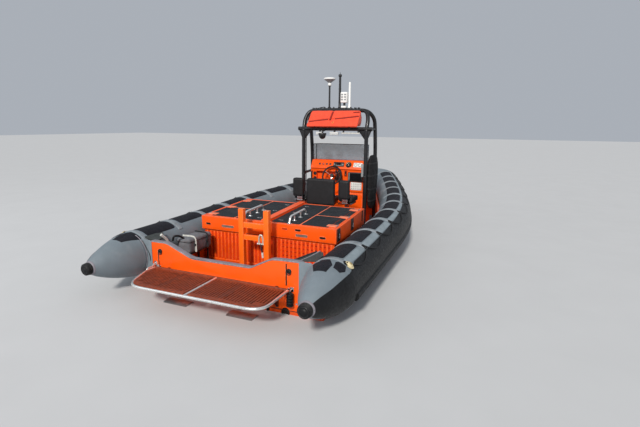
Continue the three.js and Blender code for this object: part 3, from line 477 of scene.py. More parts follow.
# ------------------------------------------------------------------ stage and light
def stage():
    me = bpy.data.meshes.new("floor")
    me.from_pydata([(-60, -60, 0), (60, -60, 0), (60, 60, 0), (-60, 60, 0)], [], [(0, 1, 2, 3)])
    me.materials.append(MATS["floor"])
    o = bpy.data.objects.new("floor", me)
    SCN.collection.objects.link(o)
    w = bpy.data.worlds.new("world")
    w.use_nodes = True
    bg = w.node_tree.nodes["Background"]
    bg.inputs["Color"].default_value = (0.80, 0.86, 0.95, 1)
    bg.inputs["Strength"].default_value = 0.50
    SCN.world = w
    s = bpy.data.lights.new("sun", "SUN")
    s.energy, s.angle, s.color = 3.2, math.radians(7), (1.0, 0.96, 0.90)
    so = bpy.data.objects.new("sun", s)
    SCN.collection.objects.link(so)
    e, az = math.radians(35), math.radians(9)
    d = Vector((math.cos(e) * math.cos(az), math.cos(e) * math.sin(az), -math.sin(e)))
    so.rotation_mode = "QUATERNION"
    so.rotation_quaternion = d.to_track_quat("-Z", "Y")
    a = bpy.data.lights.new("fill", "AREA")
    a.energy, a.size, a.color = 160, 7, (0.92, 0.96, 1.0)
    ao = bpy.data.objects.new("fill", a)
    SCN.collection.objects.link(ao)
    ao.location = (-5, 7, 6)
    ao.rotation_mode = "QUATERNION"
    ao.rotation_quaternion = (Vector((2, 0, 0.5)) - ao.location).to_track_quat("-Z", "Y")
    SCN.view_settings.view_transform = "Standard"
    SCN.view_settings.exposure = 0.0


stage()

# ------------------------------------------------------------------ the collar
TUBE_R, TUBE_Y, TUBE_Z, TUBE_RISE, TUBE_POW = 0.250, 1.200, 0.353, 0.235, 1.74
NOSE_R, TUBE_XB = 0.300, 5.989
NOSE_X = TUBE_XB - NOSE_R
BOW = [(1.5, 1.2, 0.0), (2.2, 1.198, -0.045), (2.8, 1.150, -0.155), (3.4, 1.036, -0.228), (4.0, 0.878, -0.290),
       (4.6, 0.695, -0.318), (5.1, 0.531, -0.337), (5.7914, 0.2819, -0.364)]
CONE = [(0.545, 0.061), (0.470, 0.108), (0.360, 0.159), (0.230, 0.205), (0.110, 0.236), (0.0, 0.250)]


def yc(x):
    if x <= BOW[0][0]:
        return TUBE_Y
    if x >= BOW[-1][0]:
        return math.sqrt(max(0.0, NOSE_R ** 2 - (x - NOSE_X) ** 2))
    i = max(k for k, b in enumerate(BOW) if b[0] <= x)
    (x0, y0, m0), (x1, y1, m1) = BOW[i], BOW[i + 1]
    h = x1 - x0
    t = (x - x0) / h
    return ((2 * t ** 3 - 3 * t ** 2 + 1) * y0 + (t ** 3 - 2 * t ** 2 + t) * h * m0
            + (3 * t ** 2 - 2 * t ** 3) * y1 + (t ** 3 - t ** 2) * h * m1)


def zc(x):
    return TUBE_Z + TUBE_RISE * max(0.0, (x + 0.1) / (TUBE_XB + 0.1)) ** TUBE_POW if x >= 0 else TUBE_Z


# the centreline by length: s is x on the straight part
_cl = []


def _centreline():
    x, s = 0.0, 0.0
    pts = [(0.0, 0.0)]
    while x < TUBE_XB - 1e-9:
        slope = abs(yc(min(x + 1e-4, TUBE_XB)) - yc(x)) / 1e-4 if x < TUBE_XB - 2e-4 else 50
        step = 0.02 / math.hypot(1, slope)
        nx = min(TUBE_XB, x + max(step, 2e-5))
        s += math.hypot(nx - x, yc(nx) - yc(x))
        x = nx
        pts.append((s, x))
    return pts


_cl = _centreline()
S_END = _cl[-1][0]
_CS, _CX = np.array([p[0] for p in _cl]), np.array([p[1] for p in _cl])


def x_of(s):
    return s if s < 0 else float(np.interp(s, _CS, _CX))


def s_of(x):
    return x if x < 0 else float(np.interp(x, _CX, _CS))


def cone_r(d):
    ds, rs = [c[0] for c in CONE][::-1], [c[1] for c in CONE][::-1]
    for i in range(len(ds) - 1):
        if ds[i] <= d <= ds[i + 1]:
            m = [0.0] * len(ds)
            for k in range(1, len(ds) - 1):
                m[k] = (rs[k + 1] - rs[k - 1]) / (ds[k + 1] - ds[k - 1])
            m[-1] = (rs[-1] - rs[-2]) / (ds[-1] - ds[-2])
            h, t = ds[i + 1] - ds[i], (d - ds[i]) / (ds[i + 1] - ds[i])
            return ((2 * t ** 3 - 3 * t ** 2 + 1) * rs[i] + (t ** 3 - 2 * t ** 2 + t) * h * m[i]
                    + (-2 * t ** 3 + 3 * t ** 2) * rs[i + 1] + (t ** 3 - t ** 2) * h * m[i + 1])
    return rs[-1]


def collar(side, s, a, off=0.0):
    """A point on the collar: side 1 port, -1 starboard; s along it; a degrees, 0 inboard, 90 top, 180 outboard."""
    t = math.radians(a)
    if s < 0:
        r = cone_r(-s) + off
        return Vector((s, side * (TUBE_Y - r * math.cos(t)), TUBE_Z + r * math.sin(t)))
    x = x_of(s)
    c = Vector((x, yc(x), zc(x)))
    if x >= BOW[-1][0]:
        nrm = Vector(((NOSE_X - x) / NOSE_R, -yc(x) / NOSE_R, 0))
    else:
        x0, x1 = x_of(max(0, s - 0.02)), x_of(s + 0.02)
        d = Vector((x1 - x0, yc(x1) - yc(x0), 0)).normalized()
        nrm = Vector((d.y, -d.x, 0))
    r = TUBE_R + off
    p = c + nrm * (r * math.cos(t)) + Vector((0, 0, r * math.sin(t)))
    return Vector((p.x, side * max(p.y, 0.0002), p.z))


def collar_skin(side):
    b = Build()
    ss = [-d for d in (0.545, 0.53, 0.50, 0.47, 0.42, 0.36, 0.30, 0.23, 0.17, 0.11, 0.06, 0.03)] + list(np.linspace(0, S_END, 120))
    n = 72
    vs, fs = [], []
    for s in ss:
        vs += [collar(side, s, 360 * k / n) for k in range(n)]
    for i in range(len(ss) - 1):
        for k in range(n):
            fs.append((i * n + k, i * n + (k + 1) % n, (i + 1) * n + (k + 1) % n, (i + 1) * n + k))
    fs.append(tuple(range(n)))
    fs.append(tuple((len(ss) - 1) * n + k for k in range(n)))
    return b.add(vs, fs, "tube_grey")


def patch(b, side, outline, thick, mat, rings=5, sub=6):
    """A glued patch on the collar: outline [(s, angle)] round a middle that sees every corner."""
    pts = []
    for i, p in enumerate(outline):
        q = outline[(i + 1) % len(outline)]
        for j in range(sub):
            pts.append((p[0] + (q[0] - p[0]) * j / sub, p[1] + (q[1] - p[1]) * j / sub))
    c = (sum(p[0] for p in pts) / len(pts), sum(p[1] for p in pts) / len(pts))
    vs, fs = [collar(side, c[0], c[1], thick)], []
    levels = [(k / rings * 0.97, thick) for k in range(1, rings + 1)] + [(0.992, thick * 0.75), (1.0, -0.0006)]
    n = len(pts)
    for f, h in levels:
        vs += [collar(side, c[0] + (p[0] - c[0]) * f, c[1] + (p[1] - c[1]) * f, h) for p in pts]
    for k in range(n):
        fs.append((0, 1 + k, 1 + (k + 1) % n))
    for L in range(len(levels) - 1):
        for k in range(n):
            a0, a1 = 1 + L * n + k, 1 + L * n + (k + 1) % n
            fs.append((a0, a0 + n, a1 + n, a1))
    return b.add(vs, fs, mat)


def strip(b, side, s0, s1, a0, a1, thick, mat, ns=60, na=18):
    """A long panel on the collar between two edges, each edge an angle or a function of s."""
    fa0 = a0 if callable(a0) else (lambda s: a0)
    fa1 = a1 if callable(a1) else (lambda s: a1)
    vs, fs = [], []
    for i in range(ns + 1):
        s = s0 + (s1 - s0) * i / ns
        end = i in (0, ns)
        for k in range(na + 1):
            a = fa0(s) + (fa1(s) - fa0(s)) * k / na
            edge = k in (0, na) or end
            vs.append(collar(side, s, a, -0.0006 if edge else thick))
    w = na + 1
    # the rows next to the edges sit close to them
    def place(i, k, s, a):
        vs[i * w + k] = collar(side, s, a, thick)
    for i in range(1, ns):
        s = s0 + (s1 - s0) * i / ns
        place(i, 1, s, fa0(s) + 0.8)
        place(i, na - 1, s, fa1(s) - 0.8)
    for i in range(ns):
        for k in range(na):
            fs.append((i * w + k, i * w + k + 1, (i + 1) * w + k + 1, (i + 1) * w + k))
    return b.add(vs, fs, mat)


BAND_S0, BAND_P = 0.055, 0.570       # first band and the pitch of the bands
BANDS = [BAND_S0 + i * BAND_P for i in range(14)]


def round_patch(s0, s1, a0, a1, r_s=0.04):
    r_a = math.degrees(r_s / TUBE_R)
    out = []
    for cs, ca, q in ((s1 - r_s, a1 - r_a, 0), (s0 + r_s, a1 - r_a, 90), (s0 + r_s, a0 + r_a, 180), (s1 - r_s, a0 + r_a, 270)):
        for j in range(5):
            t = math.radians(q + 90 * j / 4)
            out.append((cs + r_s * math.cos(t), ca + r_a * math.sin(t)))
    return out


def low_edge(s):
    """The upper edge of the black wear panel, by length."""
    if s < 0:
        return 131 + 8 * min(1, (s + 0.54) / 0.2)
    if s < 1.4:
        return 139 - 11 * min(1.0, s / 0.20)
    return 128 - min(12, (s - 1.4) * 7)


for side, nm in ((1, "port"), (-1, "starboard")):
    skin = collar_skin(side)
    skin.make("collar_skin_" + nm, replaces=("tube_" + nm,), slot="tube_fabric", sharp=60)
    t = Build()
    # seam tapes round the tube at the cone and at the baffles, and a pale ring of fabric just forward of the cap
    for s in (-0.035, 0.022):
        strip(t, side, s - 0.012, s + 0.012, -178, 180, 0.0022, "tube_grey", ns=4, na=96)
    t.tube([collar(side, -0.013, a, 0.0030) for a in np.linspace(-30, 66, 40)], 0.0048, "capping", n=10)
    strip(t, side, -0.5445, -0.526, -178, 180, 0.0030, "capping", ns=4, na=72)
    for s in (1.92, 3.9, 5.55):
        strip(t, side, s - 0.03, s + 0.03, -178, 180, 0.0012, "tube_grey", ns=4, na=96)
    t.make("collar_seams_" + nm, slot="tube_fabric", sharp=60)
    # black wear panel, lower outer side
    w = Build()
    strip(w, side, -0.542, S_END - 0.30, low_edge, lambda s: 208 + 34 * min(1.0, max(0.0, -s / 0.30)), 0.0035, "rubber", ns=150, na=24)
    w.make("wear_panel_" + nm, slot="black_rubber", sharp=60)
    # anti-slip pads and pale bands
    p, q, g = Build(), Build(), Build()
    patch(p, side, [(-0.200, 66), (-0.205, 99), (-0.085, 101), (0.014, 87), (0.014, 52), (-0.02, 48)], 0.0035, "pad_black")
    patch(p, side, [(-0.115, 106), (-0.020, 102), (0.010, 106), (0.010, 124), (-0.070, 131), (-0.130, 124)], 0.0035, "pad_black")
    for i, s in enumerate(BANDS):
        if s + BAND_P > S_END - 0.25:
            break
        wig = 0.012 * math.sin(i * 2.3)
        patch(p, side, round_patch(s + 0.055 + wig, s + BAND_P - 0.055 + wig, 50 if i == 0 else 58, 107, 0.035), 0.004, "pad_black")
        patch(g, side, round_patch(s + 0.045 + wig, s + BAND_P - 0.05 + wig, 109.5, low_edge(s + 0.28) - 1.5, 0.012), 0.003, "tube_panel")
    for i, s in enumerate(BANDS):
        if s > S_END - 0.3:
            break
        wd = 0.032 + 0.004 * math.sin(i * 1.7)
        strip(q, side, s - wd, s + wd, 40, 124 if i else 119, 0.0075, "tube_band", ns=8, na=40)
    p.make("antislip_pads_" + nm, slot="black_rubber", sharp=60)
    g.make("outer_panels_" + nm, slot="tube_fabric", sharp=60)
    q.make("collar_bands_" + nm, slot="tube_fabric", sharp=60)
    # end cap with raised rings
    c = Build()
    prof = [(0.061, 0.0), (0.0635, 0.003), (0.0640, 0.008)]
    for k in range(4):
        h = 0.010 + k * 0.0098
        prof += [(0.0590, h), (0.0642 - 0.0012 * k, h + 0.0026), (0.0642 - 0.0012 * k, h + 0.0056), (0.0585 - 0.0018 * k, h + 0.0088)]
    prof += [(0.052, 0.052), (0.043, 0.0570), (0.039, 0.0545), (0.026, 0.0560), (0.023, 0.0600), (0.0, 0.0615)]
    c.lathe(prof, (-0.545 - 0.0004, side * TUBE_Y, TUBE_Z), (-1, 0, 0), "rubber", n=40)
    c.make("end_cap_" + nm, replaces=("tube_end_cap_" + nm,), slot="black_rubber", sharp=50)
    # rubbing strake: ribbed D section
    d = Build()
    ns = 110
    sec = [(-0.0015, -0.040), (0.014, -0.036), (0.0215, -0.027), (0.0245, -0.017), (0.0195, -0.011), (0.0265, -0.004), (0.0265, 0.004),
           (0.0195, 0.011), (0.0245, 0.017), (0.0215, 0.027), (0.014, 0.036), (-0.0015, 0.040)]
    vs, fs = [], []
    s_last = s_of(5.86)
    for i in range(ns + 1):
        s = 0.02 + (s_last - 0.02) * i / ns
        for o_, h in sec:
            ang = math.degrees(math.pi + math.asin(0.070 / TUBE_R)) - math.degrees(h / TUBE_R)
            vs.append(collar(side, s, ang, 0.0005 + o_))
    k = len(sec)
    for i in range(ns):
        for j in range(k):
            fs.append((i * k + j, i * k + (j + 1) % k, (i + 1) * k + (j + 1) % k, (i + 1) * k + j))
    fs += [tuple(range(k)), tuple(ns * k + j for j in range(k))]
    d.add(vs, fs, "rubber")
    d.make("strake_" + nm, replaces=("rubbing_strake_" + nm,), slot="black_rubber", sharp=40)
    # grab line: fixed at each band, in a shallow curve between
    r = Build()
    line = []
    for i, s in enumerate(BANDS):
        if s > S_END - 0.5:
            break
        if i:
            s_prev = BANDS[i - 1]
            for j in range(1, 14):
                f = j / 14
                line.append(collar(side, s_prev + (s - s_prev) * f, 121 + 23 * math.sin(math.pi * f) ** 0.8, 0.0115))
        line.append(collar(side, s, 120, 0.016))
    r.tube(line, 0.006, "rope_black", n=8)
    for i, s in enumerate(BANDS):
        if s > S_END - 0.5:
            break
        patch(r, side, round_patch(s - 0.028, s + 0.028, 113, 127, 0.02), 0.0105, "rubber", rings=3)
    r.make("grab_line_" + nm, slot="black_rubber", sharp=50)
    # filler fitting near the stern: a pale valve in a round seat
    f = Build()
    base = collar(side, 0.075, 127, 0.004)
    out = (collar(side, 0.075, 127, 0.05) - collar(side, 0.075, 127, 0)).normalized()
    f.lathe([(0.0, -0.004), (0.046, -0.004), (0.048, 0.001), (0.040, 0.006), (0.031, 0.007), (0.029, 0.015), (0.020, 0.020), (0.0, 0.021)],
            base, out, "valve_cream", n=28)
    f.lathe([(0.0, 0.015), (0.013, 0.015), (0.014, 0.022), (0.009, 0.027), (0.0, 0.028)], base, out, "brass", n=20)
    f.make("valve_" + nm, slot="brass" if "brass" in [m["slot"] for m in frame["record"]["materials"]] else "tube_fabric", sharp=40)

# ------------------------------------------------------------------ CAD nodes kept, with a finish
BOX_TOP, BOX_X0, BOX_X1, BOX_HALF, BOX_SLOPE = 0.645, 0.920, 2.030, 0.915, 0.04


def rise(x):
    return BOX_SLOPE * (x - BOX_X0)


def raised(v):
    """The box top climbs towards the bow, so what lies on it is lifted with it."""
    return (v[0], v[1], v[2] + rise(v[0]))


dress("hull", "orange_hull", bevel=0.006, seg=2, angle=25)
dress("deck", "deck_nonslip", bevel=0.002)
dress("transom", "orange", bevel=0.004, seg=2)
dress("transom_capping", "capping", bevel=0.004, seg=3)
dress("engine_box", "orange", bevel=0.010, seg=3)
dress("tow_post", "orange_post", bevel=0.007, seg=3)
dress("console", "orange", bevel=0.012, seg=3)
dress("windscreen", "tint", bevel=0.002, seg=2)
for side in ("port", "starboard"):
    dress("engine_lid_" + side, "orange", bevel=0.004, seg=2)
    dress("engine_" + side, "engine", bevel=0.02, seg=2)
    dress("platform_grating_" + side, "grating", bevel=0.0025, seg=2)
    dress("platform_stay_" + side, "black_tube", bevel=0.003, seg=2)
    dress("jet_unit_" + side, "alloy", bevel=0.003, seg=2)
    dress("jet_nozzle_" + side, "alloy", bevel=0.002, seg=2)
    dress("jet_bucket_" + side, "alloy", bevel=0.003, seg=2)
    dress(side + "_seat_base", "steel", bevel=0.003, seg=2)
dress("helm_seat_base", "black_tube", bevel=0.006, seg=2)
dress("bow_bollard", "steel", bevel=0.003, seg=2)


def mirror_y(pts, s):
    return [(x, s * y, z) for x, y, z in pts]


# ------------------------------------------------------------------ transom
b = Build()
# slots in the transom, drawn as dark strips between orange lips: painted shade inside them
for y, z0, z1, ring in ((0.796, 0.285, 0.452, 0.770), (-0.753, 0.292, 0.508, -0.781)):
    b.box((-0.0035, y - 0.0065, z0), (0.002, y + 0.0065, z1), "slot_shade", 0.002)
    b.box((-0.0045, y - 0.0115, z0 - 0.004), (0.001, y - 0.0068, z1 + 0.004), "orange", 0.002)
    b.box((-0.0045, y + 0.0068, z0 - 0.004), (0.001, y + 0.0115, z1 + 0.004), "orange", 0.002)
for y, z in ((0.770, 0.440), (-0.781, 0.437)):
    b.lathe([(0.0, 0.0), (0.026, 0.0), (0.026, 0.003), (0.022, 0.006), (0.016, 0.006), (0.015, 0.003), (0.0, 0.003)], (-0.0002, y, z), (-1, 0, 0), "rubber", n=28)
    b.tube([(-0.010, y + 0.021 * math.cos(a), z - 0.012 + 0.021 * math.sin(a)) for a in np.linspace(0, 2 * math.pi, 25)[:-1]], 0.0042, "black_plastic", n=10, closed=True)
for y, z in ((0.783, 0.269), (-0.775, 0.262), (0.50, 0.10), (-0.50, 0.10), (0.86, 0.12), (-0.86, 0.12)):
    b.lathe([(0.0, -0.001), (0.011, -0.001), (0.011, 0.002), (0.0085, 0.0045), (0.0, 0.005)], (-0.0002, y, z), (-1, 0, 0), "steel", n=6)
# drain and exhaust outlets at the water, a dark disc in each mouth as painted shade
for y, r in ((-0.742, 0.040), (0.742, 0.040), (-0.55, 0.016), (0.55, 0.016)):
    z = 0.016
    b.lathe([(r * 0.72, -0.012), (r * 0.74, 0.004), (r * 0.86, 0.010), (r, 0.010), (r * 1.12, 0.004), (r * 1.18, -0.001), (r * 1.18, -0.004)],
            (-0.0002, y, z), (-1, 0, 0), "rubber", n=32, caps=False)
    b.lathe([(0.0, 0.0), (r * 0.8, 0.0), (r * 0.8, 0.0015), (0.0, 0.0015)], (-0.0005, y, z), (-1, 0, 0), "slot_shade", n=28)
# joint line where the moulded transom meets the hull, with its sealant
b.tube([(-0.002, -0.90, 0.0402), (-0.002, 0.90, 0.0402)], 0.0035, "rubber", n=8)
b.make("transom_fittings", slot="stainless")
# two hanging rubber buffers at the ends of the platform
b = Build()
for s in (1, -1):
    y = s * 0.812
    for k in range(5):
        z = 0.228 - k * 0.027
        b.lathe([(0.0, -0.013), (0.024, -0.013), (0.033, -0.008), (0.035, 0.0), (0.033, 0.008), (0.024, 0.013), (0.0, 0.013)], (-0.047, y, z), (0, 0, 1), "rubber", n=24)
    b.tube([(-0.047, y, 0.255), (-0.047, y, 0.105)], 0.012, "rubber", n=14)
    b.tube(bend([(-0.004, y, 0.262), (-0.030, y, 0.268), (-0.047, y, 0.250)], 0.02), 0.005, "steel", n=10)
    b.box((-0.008, y - 0.02, 0.238), (-0.0004, y + 0.02, 0.285), "steel", 0.003)
b.make("stern_buffers", slot="black_rubber")

# ------------------------------------------------------------------ engine box
b = Build()
# ribs on the after face, and the perforated starboard half
x = BOX_X0 + 0.028
y = -0.852
while y < 0.86:
    b.box((x - 0.0085, y - 0.0100, 0.105), (x + 0.002, y + 0.0100, 0.452), "orange", 0.0035, 2)
    # painted shade: a darker orange strip in each groove between the ribs
    b.box((x - 0.0008, y + 0.0130, 0.110), (x + 0.002, y + 0.0400, 0.446), "orange_groove_shade", 0.0)
    y += 0.0533
b.box((x - 0.0055, -0.876, 0.448), (x + 0.001, 0.876, 0.468), "orange", 0.003)
b.box((x - 0.0055, -0.876, 0.078), (x + 0.001, 0.876, 0.100), "orange", 0.003)
# the perforations are dark red blocks: painted shade inside the holes
y = -0.852 + 0.0267
while y < -0.20:
    for z in (0.415, 0.362, 0.309, 0.256):
        b.box((x - 0.0016, y - 0.0110, z - 0.0050), (x + 0.001, y + 0.0110, z + 0.0050), "perforation_shade", 0.0006, 1)
    y += 0.0533
# openings and recessed grips in the rim band, their insides drawn as flat darker patches: painted shade
for y0, y1, z, h, m in ((0.780, 0.848, 0.548, 0.013, "slot_shade"), (0.436, 0.612, 0.538, 0.014, "slot_grey"), (-0.480, -0.408, 0.590, 0.012, "slot_shade"),
                        (-0.566, -0.415, 0.528, 0.015, "slot_grey"), (-0.790, -0.716, 0.530, 0.013, "slot_shade"), (-0.305, -0.235, 0.590, 0.010, "slot_orange")):
    b.prism(rrect(y0, y1, z - h, z + h, h * 0.9), -0.0016, 0.002, m, ((BOX_X0, 0, 0), (0, 1, 0), (0, 0, 1), (1, 0, 0)))
    b.tube([(BOX_X0 - 0.0005, p, q) for p, q in rrect(y0 - 0.003, y1 + 0.003, z - h - 0.003, z + h + 0.003, h)], 0.0032, "orange", n=8, closed=True)
# a shallow step under the rim, across the after face, in darker orange: painted shade under the rim
b.box((BOX_X0 + 0.004, -BOX_HALF + 0.004, 0.470), (BOX_X0 + 0.030, BOX_HALF - 0.004, 0.4805), "slot_orange", 0.002)
for s in (1, -1):
    # side fittings: two over-centre latches with pale levers, and a tall slot near the forward end
    yo = s * BOX_HALF

    def on_side(x0, x1, d0, d1, z0, z1, mat, bev):
        b.box((x0, min(yo + s * d0, yo + s * d1), z0 + rise(x0)), (x1, max(yo + s * d0, yo + s * d1), z1 + rise(x0)), mat, bev)

    for xx in (1.000, 1.500):
        on_side(xx - 0.048, xx + 0.048, -0.001, 0.007, 0.492, 0.640, "black_plastic", 0.004)
        on_side(xx - 0.022, xx + 0.022, 0.005, 0.014, 0.556, 0.616, "black_tube", 0.003)
        on_side(xx - 0.010, xx + 0.010, 0.011, 0.019, 0.520, 0.580, "steel", 0.003)
        b.tube([(xx - 0.024, yo + s * 0.010, 0.540 + rise(xx)), (xx + 0.024, yo + s * 0.010, 0.540 + rise(xx))], 0.0055, "steel", n=12)
    # the tall slot is a dark strip: painted shade inside it
    on_side(1.915, 1.950, -0.001, 0.004, 0.500, 0.640, "slot_shade", 0.002)
    yi = s * (BOX_HALF - 0.028)
    for xx in (1.25, 1.62):
        # louvred vents in the lower part
        b.prism(rrect(xx - 0.10, xx + 0.10, 0.26, 0.40, 0.03), min(0, s * 0.005), max(0, s * 0.005), "black_plastic", ((0, yi, 0), (1, 0, 0), (0, 0, 1), (0, 1, 0)), bevel=0.0015)
        for k in range(5):
            z = 0.284 + k * 0.023
            b.box((xx - 0.085, min(yi + s * 0.004, yi + s * 0.011), z - 0.004), (xx + 0.085, max(yi + s * 0.004, yi + s * 0.011), z + 0.004), "black_plastic", 0.003)
b.make("engine_box_fittings", slot="orange_gelcoat")
# ridge: worn pink edge strips
b = Build()
for yy in (0.0415, -0.0415):
    b.tube([(BOX_X0 + 0.02, yy, 0.6715), (BOX_X1 - 0.02, yy, 0.6715)], 0.003, "pink_scuff", n=8)
b.make("engine_box_ridge", slot="orange_gelcoat", warp=raised)

# lids: pads, pale joint lines, corner tabs, flush latches, hinge knuckles
for side, s in (("port", 1), ("starboard", -1)):
    b = Build()
    zt = BOX_TOP

    def pad(x0, x1, y0, y1, r=0.018):
        u0, u1 = (y0, y1) if s > 0 else (-y1, -y0)
        b.prism(rrect(x0, x1, u0, u1, r), zt - 0.0004, zt + 0.0038, "lid_pad", bevel=0.0012)

    pad(0.972, 1.980, 0.060, 0.440)
    pad(0.972, 1.440, 0.462, 0.800)
    pad(1.470, 1.980, 0.462, 0.800)
    pad(1.110, 1.412, 0.806, 0.868, 0.01)
    pad(1.528, 1.822, 0.806, 0.868, 0.01)
    b.box((0.966, s * 0.451 - 0.006, zt - 0.001), (1.986, s * 0.451 + 0.006, zt + 0.0030), "pink_scuff", 0.0012)
    lo, hi = sorted((s * 0.459, s * 0.872))
    b.box((1.4495, lo, zt - 0.001), (1.4605, hi, zt + 0.0028), "pink_scuff", 0.0012)
    for x0, x1 in ((1.010, 1.090), (1.430, 1.510), (1.840, 1.920)):
        lo, hi = sorted((s * 0.760, s * 0.875))
        b.box((x0, lo, zt - 0.001), (x1, hi, zt + 0.0085), "pink_scuff", 0.004, 3)
    for lx in (1.065, 1.470, 1.840):
        ly = 0.150
        b.prism(rrect(lx - 0.011, lx + 0.011, s * ly - 0.030, s * ly + 0.030, 0.008), zt + 0.003, zt + 0.0072, "steel", bevel=0.001)
        b.prism(rrect(lx - 0.005, lx + 0.005, s * ly - 0.018, s * ly + 0.010, 0.004), zt + 0.0070, zt + 0.0088, "black_plastic", bevel=0.0006)
    for hx in (1.050, 1.475, 1.900):
        b.tube([(hx - 0.036, s * 0.8815, 0.652), (hx + 0.036, s * 0.8815, 0.652)], 0.0065, "steel", n=16)
        lo, hi = sorted((s * 0.868, s * 0.8815))
        b.box((hx - 0.032, lo, zt + 0.002), (hx + 0.032, hi, zt + 0.006), "steel", 0.0015)
    b.make("lid_pads_" + side, body="lid_" + side, slot="deck_nonslip", warp=raised)
    # handrail in smooth tube with flanged feet
    h = Build()
    yy = s * 0.310
    path = bend([(0.968, yy, zt), (1.000, yy, 0.725), (1.420, yy, 0.725), (1.452, yy, zt)], 0.048, 10)
    h.tube(path, 0.0130, "rail_steel", n=18)
    for xx in (1.110, 1.285):
        h.tube([(xx, yy, zt), (xx, yy, 0.722)], 0.0105, "rail_steel", n=16)
        h.ball((xx, yy, 0.722), 0.0142, "rail_steel")
    for xx in (0.968, 1.110, 1.285, 1.452):
        h.lathe([(0.0, 0.0005), (0.029, 0.0005), (0.030, 0.003), (0.026, 0.0058), (0.015, 0.007), (0.013, 0.011), (0.0, 0.011)], (xx, yy, zt), (0, 0, 1), "steel", n=28)
        for k in range(3):
            a = k * 2.094 + 0.5
            h.ball((xx + 0.021 * math.cos(a), yy + 0.021 * math.sin(a), zt + 0.0058), 0.0032, "steel", (1, 1, 0.5), 10)
    h.make("lid_rail_" + side, body="lid_" + side, replaces=("lid_handrail_" + side,), slot="stainless", warp=raised)

# ------------------------------------------------------------------ towing post
b = Build()
for s in (1, -1):
    y = s * 0.165
    b.box((0.628, y - 0.062, 0.0560), (0.752, y + 0.062, 0.068), "orange_post", 0.004)
    for dx in (-0.049, 0.049):
        for dy in (-0.049, 0.049):
            b.lathe([(0.0, 0.0), (0.010, 0.0), (0.010, 0.006), (0.0, 0.007)], (0.69 + dx, y + dy, 0.068), (0, 0, 1), "steel", n=6)
    # a thin band round the head whose edges take the pale worn-edge colour: a painted highlight along the top edge of
    # each post
    b.prism(rrect(0.6565, 0.7235, y - 0.0335, y + 0.0335, 0.007), 0.8375, 0.8395, "orange_post", bevel=0.0008)
# bow shackle over the lower bar, with its strop hanging
b.tube(bend([(0.664, -0.126, 0.452), (0.662, -0.126, 0.520), (0.657, -0.112, 0.556), (0.657, -0.088, 0.556), (0.662, -0.074, 0.520), (0.664, -0.074, 0.452)], 0.024, 8), 0.0105, "shackle", n=14)
b.tube([(0.664, -0.138, 0.450), (0.664, -0.060, 0.450)], 0.0110, "shackle", n=14)
b.lathe([(0.0, 0.0), (0.016, 0.0), (0.016, 0.007), (0.0, 0.008)], (0.664, -0.062, 0.450), (0, 1, 0), "steel", n=6)
b.tube(bend([(0.664, -0.100, 0.458), (0.656, -0.102, 0.430), (0.658, -0.108, 0.385), (0.664, -0.114, 0.345)], 0.03), 0.0095, "rope_black", n=12)
b.tube(bend([(0.664, -0.114, 0.352), (0.662, -0.117, 0.325), (0.666, -0.120, 0.290)], 0.02), 0.0125, "strap_pale", n=14)
b.make("tow_post_fittings", slot="orange_coated_steel")

# ------------------------------------------------------------------ stern platform
PZ, PR, PX0, PX1 = 0.272, 0.0150, -0.062, -0.573
b = Build()
rim = [(PX0, 0.800), (-0.150, 0.799), (-0.225, 0.786), (-0.320, 0.752), (-0.410, 0.721), (-0.470, 0.695), (-0.522, 0.657), (-0.558, 0.603), (-0.574, 0.540), (-0.576, 0.460),
       (-0.569, -0.580), (-0.567, -0.655), (-0.553, -0.715), (-0.524, -0.762), (-0.478, -0.791), (-0.410, -0.800), (PX0, -0.800)]
pts = bend([(x, y, PZ) for x, y in rim], 0.060, 5)
b.tube(pts, 0.0132, "rail_steel", n=20)
b.tube([(PX0, -0.80, PZ), (PX0, 0.80, PZ)], PR, "grating", n=20)
b.tube([(PX0, 0, PZ), (PX1, 0, PZ)], PR * 0.85, "rail_steel", n=20)
for x, y in ((-0.230, 0.765), (-0.400, 0.710)):
    b.box((x - 0.015, -0.790, PZ - 0.014), (x + 0.015, y, PZ - 0.0068), "steel", 0.002)
for s in (1, -1):
    lo, hi = sorted((s * 0.330, s * 0.360))
    b.box((PX1 + 0.004, lo, PZ - 0.0139), (PX0, hi, PZ - 0.0069), "steel", 0.002)
    b.lathe([(0.0, 0.0), (0.0165, 0.0), (0.018, 0.004), (0.0165, 0.012), (0.0, 0.014)], (PX0, s * 0.799, PZ), (0, s, 0), "black_plastic", n=24)
    for k, x in enumerate((-0.15, -0.31, -0.47)):
        b.lathe([(0.0, 0.0), (0.008, 0.0), (0.008, 0.003), (0.005, 0.0045), (0.0, 0.0045)], (x, s * 0.371, 0.2863), (0, 0, 1), "grating", n=16)
    # shallow grooves that carry the slats over the solid strip and up to the fore edge, drawn as flat dark strips:
    # painted shade
    for yy in (0.326, 0.356):
        lo, hi = sorted((s * (yy - 0.006), s * (yy + 0.006)))
        b.box((-0.505, lo, 0.2858), (-0.126, hi, 0.2864), "slat_groove_shade", 0.0)
b.make("platform_tubes", body="platform", replaces=("platform_frame",), slot="stainless")
# a fixed boarding handle at the port corner of the transom
b = Build()
b.tube(bend([(-0.002, 0.842, 0.300), (-0.012, 0.842, 0.300), (-0.064, 0.842, 0.272), (-0.138, 0.842, 0.272), (-0.138, 0.842, 0.200), (-0.002, 0.842, 0.190)], 0.022, 8), 0.0095, "rail_steel", n=16)
for z in (0.300, 0.190):
    b.lathe([(0.0, 0.0), (0.022, 0.0), (0.022, 0.004), (0.012, 0.007), (0.0, 0.007)], (-0.0003, 0.842, z), (-1, 0, 0), "steel", n=24)
b.make("boarding_handle", slot="stainless")

# ------------------------------------------------------------------ console
CX = 3.500
b = Build()
YZ = ((CX, 0, 0), (0, 1, 0), (0, 0, 1), (-1, 0, 0))          # outlines as (y, z), outwards is aft
